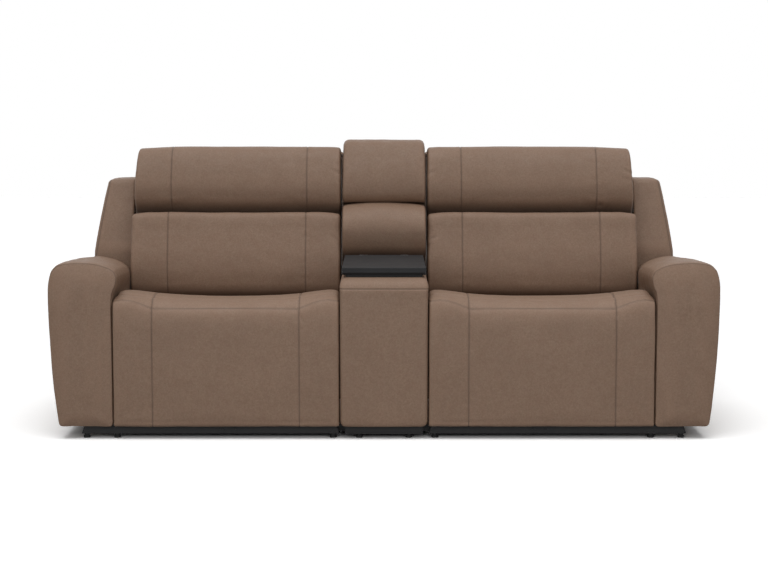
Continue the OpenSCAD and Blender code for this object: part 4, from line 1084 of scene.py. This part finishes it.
def cheek_grid(x_in):
    """Upright strip that covers one side of the back frame."""
    levels = []
    for z in [402, 404, 410] + list(np.linspace(430, 912, 32)) + [924, 929, 931]:
        e = min(z - CHEEK_LOW, CHEEK_TOP - z)
        r = 8 * (1 - math.sqrt(max(0.0, 1 - max(0.0, 1 - e / 10) ** 2)))
        front = max(post_d(max(z, 430)) + 29, head_back(z) + 18) + r
        levels.append((z, ring_of(x_in + r * 0.8, x_in + CHEEK_WIDTH - r * 0.8, front,
                                  rear_d(z) - 16 - r, (5, 5, 5, 5), 8, 4)))
    cheek = refine(stack(levels))
    return offset(cheek, 0.5 * waves(cheek, 61, 120))


def build_backs():
    path = ([(rear_d(z), z) for z in (302, 420, 600, 780, 905)]
            + [(ROLL_D - 5, 938), (ROLL_D - 18, 948), (ROLL_D - 45, 949.5), (ROLL_D - 82, 949)])
    sheet = refine(sheet_grid(path, BACK_IN - 3.5, BACK_OUT + 0.5, BACK_THICK))
    x, d, z = sheet[..., 0], sheet[..., 1], sheet[..., 2]
    outer = d > rear_d(z) - 8
    middle = np.where(outer, x - (BACK_IN + BACK_OUT + 1) / 2, FAR)
    top = np.where(z > 900, d - (ROLL_D - 26), FAR)
    mark = np.maximum(gauss(middle, 2.0), gauss(top, 2.0))

    rest_path = ([(head_back(z) + 16.2, z) for z in (767, 830, 900, 938)]
                 + [(head_back(953) + 14, 954), (head_back(955) + 8, 960),
                    (head_back(955) - 4, 962), (head_back(955) - 16, 960.5)])
    rest = refine(sheet_grid(rest_path, 184.0, 914.0, REST_THICK))
    skirt_path = [(883.2, 20), (883.4, 60), (883.6, 120), (883.6, 200), (883.4, 297)]
    skirt = refine(sheet_grid(skirt_path, 164.0, 942.0, SKIRT_THICK))

    for side, unit in SIDES:
        move = (-2.4 * gauss(middle, 3.0) - 2.0 * gauss(top, 3.0)
                + 0.9 * waves(sheet, 51 + side, 210))
        p = offset(sheet, np.where(outer, move, 0.0))
        obj = piece(unit + "_outside_back", p, unit + "_back", mark, side)
        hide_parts(unit + "_back_cover")
        for part, x_in in (("inner", BACK_IN + 1), ("outer", 920.0)):
            piece(unit + "_back_cheek_" + part, cheek_grid(x_in), unit + "_back", None, side)
        piece(unit + "_head_back", rest, unit + "_headrest", None, side)
        p = offset(skirt, 0.4 * waves(skirt, 71 + side, 160))
        piece(unit + "_rear_skirt", p, "base", None, side)


# Console

TOWER_LOW = 490
TOWER_TOP = 958
TOWER_HALF = 156


def console_grid():
    """Console body from the middle of its underside, up its walls, to the floor of its bin."""
    w = CASE_HALF
    bin_corners = (7, 7, 7, 7)

    def ring(inset_x, front, rear):
        g = ring_of(-w + inset_x, w - inset_x, front, rear, (11.0, 11.0, 8, 8), 22, 6)
        if inset_x > 0:
            ahead = np.clip((530 - g[:, 1]) / 80, 0.1, 1)
            g[:, 0] *= (w - inset_x * ahead) / (w - inset_x)
        across = g[:, 0] / w
        face = np.clip(1 - (g[:, 1] - front) / 14, 0, 1)
        g[:, 1] -= face * 3.0 * (1 - across ** 4)
        return g

    under = ring(6, 10, BASE_REAR - 8)
    levels = [(44.6, q) for q in drawn_in(under, [(0, 120), (0, 760)], (0.04, 0.3, 0.6, 0.85))]
    for z, inset, front in ((44.8, 13, 9), (46, 9.6, 7), (48.5, 6.2, 5.4), (52.5, 3.3, 4.4),
                            (58, 1.4, 3.8), (65, 0.7, 3.4)):
        levels.append((z, ring(inset, front, BASE_REAR - 4)))
    for z in np.linspace(76, 506, 34):
        belly = 0.8 * math.sin((z - 44) / 472 * math.pi)
        levels.append((z, ring(0.6 - 1.2 * (z - 44) / 472, 3.2 - belly * 0.2, BASE_REAR - 2)))
    for z, inset, front, rear in ((512, -1.6, 3.8, 2), (CASE_SEAM, -1.8, 4.8, 2),
                                  (520, -1.8, 5.6, 2), (527, -0.8, 8.4, 2), (535, 1.4, 13, 2),
                                  (541, 4.2, 19, 3), (546, 8.0, 26, 4), (549.4, 12.0, 32, 6),
                                  (551.4, 17.0, 38, 9)):
        levels.append((z, ring(inset, front, BASE_REAR - rear)))
    for f in (0.25, 0.5, 0.75, 0.92):
        half = w - 17 - f * 11.5
        levels.append((551.7, ring_of(-half, half, 36 + f * 29, BASE_REAR - 9 - f * 366,
                                      (9, 9, 8, 8), 22, 6)))
    for z, e in ((551.4, 0.4), (549.5, -0.3), (545, -0.6), (520, -0.6), (460, -0.6), (400, -0.6),
                 (350, -0.6), (337, -1), (333.6, -4)):
        levels.append((z, ring_of(-120 - e, 120 + e, 68 - e, 502 + e, bin_corners, 22, 6)))
    base = ring_of(-116, 116, 72, 498, bin_corners, 22, 6)
    levels += [(332.9, q) for q in drawn_in(base, [(0, 150), (0, 420)], (0.8, 0.5, 0.2, 0.04))]
    return stack(levels)


def build_console():
    body = refine(console_grid())
    x, d, z = body[..., 0], body[..., 1], body[..., 2]
    wall = ((np.abs(x) > 140) | (d < 40) | (d > 868)) & (z < 551.0)
    seam = np.where(wall & (d < 860), z - CASE_SEAM, FAR)
    move = -1.5 * gauss(seam, 2.2) + np.where(wall, 0.7 * waves(body, 81, 200) - 0.5, 0.0)
    case = piece("console_body", offset(body, move), "base", 0.8 * gauss(seam, 1.8))
    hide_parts("console_case")


def build_tower():
    """Upright block behind the console's back pads."""
    rings = ([(TOWER_LOW, inset, 0.0) for inset in (68, 45, 20, 4)]
             + [(TOWER_LOW + (TOWER_TOP - TOWER_LOW) * (k / 28), 0.0, 0.0) for k in range(28)]
             + [(TOWER_TOP, inset, lift) for inset, lift in (
                 (0, 0), (1.5, 0.9), (5, 1.6), (12, 1.9), (30, 1.9), (60, 1.9))])
    levels = []
    for z, inset, lift in rings:
        rear = np.interp(z, [490, 550, 958], [872, 875, 926])
        half = TOWER_HALF - inset
        levels.append((z + lift, ring_of(-half, half, tower_front(z) + 0.5 + inset * 0.6,
                                         rear - inset * 0.6, (3, 3, 10, 10), 12, 6)))
    tower = refine(stack(levels))
    piece("console_tower", offset(tower, 0.6 * waves(tower, 91, 150) - 0.8), "base")


build_arms()
build_wings()
build_backs()
build_console()
build_tower()


# Camera, light and floor

FLOOR_LIT = (0.12, 0.12, 0.12, 1)
FLOOR_SEEN = (1.28, 1.28, 1.28, 1)


def add_camera():
    """The photograph's camera, as it was found from the photograph."""
    data = bpy.data.cameras.new("camera")
    data.lens = 85
    data.sensor_width = 36
    camera = link(bpy.data.objects.new("camera", data))
    camera.location = (0, -6.5625, 1.170)
    camera.rotation_euler = (math.radians(90 - 6.1), 0, 0)
    bpy.context.scene.camera = camera


def add_light(name, kind, turn, place=(0, 0, 0), **values):
    """Light with its turn in degrees."""
    data = bpy.data.lights.new(name, kind)
    for key, value in values.items():
        setattr(data, key, value)
    obj = link(bpy.data.objects.new(name, data))
    obj.location = place
    obj.rotation_euler = [math.radians(a) for a in turn]


def seen_directly(nt):
    """1 for rays that come from the camera or a shiny or clear surface."""
    path = add(nt, "ShaderNodeLightPath")
    value = path.outputs["Is Camera Ray"]
    for name in ("Is Glossy Ray", "Is Transmission Ray"):
        sockets = {0: value, 1: path.outputs[name]}
        value = add(nt, "ShaderNodeMath", sockets, operation="MAXIMUM").outputs[0]
    return value


def add_world():
    """World that lights the scene softly and is seen as plain white."""
    world = bpy.data.worlds.new("world")
    bpy.context.scene.world = world
    world.use_nodes = True
    nt = world.node_tree
    nt.nodes.clear()
    up = add(nt, "ShaderNodeSeparateXYZ", {0: add(nt, "ShaderNodeTexCoord").outputs["Generated"]})
    light = ramp(nt, up.outputs["Z"], 0, 1, 0.27, 0.34)
    level = add(nt, "ShaderNodeMix", {0: seen_directly(nt), 2: light, 3: 1.0}, data_type="FLOAT")
    back = add(nt, "ShaderNodeBackground", {"Color": (1, 1, 1, 1), "Strength": level.outputs[0]})
    add(nt, "ShaderNodeOutputWorld", {"Surface": back.outputs[0]})


def add_floor():
    """Floor that is seen as white too, and throws little light back."""
    mesh = bpy.data.meshes.new("floor")
    mesh.from_pydata([(-14, -9, 0), (14, -9, 0), (14, 14, 0), (-14, 14, 0)], [], [(0, 1, 2, 3)])
    floor = link(bpy.data.objects.new("floor", mesh))
    material, nt, bsdf = make_material("floor")
    colour = mix(nt, seen_directly(nt), FLOOR_LIT, FLOOR_SEEN)
    diffuse = add(nt, "ShaderNodeBsdfDiffuse", {"Color": colour})
    feed(nt, nt.nodes["Material Output"], {"Surface": diffuse.outputs[0]})
    nt.nodes.remove(bsdf)
    mesh.materials.append(material)


add_camera()
add_light("top_light", "SUN", (20, 0, -8), energy=1.68, angle=math.radians(50))
add_light("front_light", "AREA", (80, 0, 0), (0, -2.2, 0.75), energy=13, shape="RECTANGLE",
          size=4.0, size_y=0.6)
add_world()
add_floor()

scene = bpy.context.scene
scene.view_settings.view_transform = "Standard"
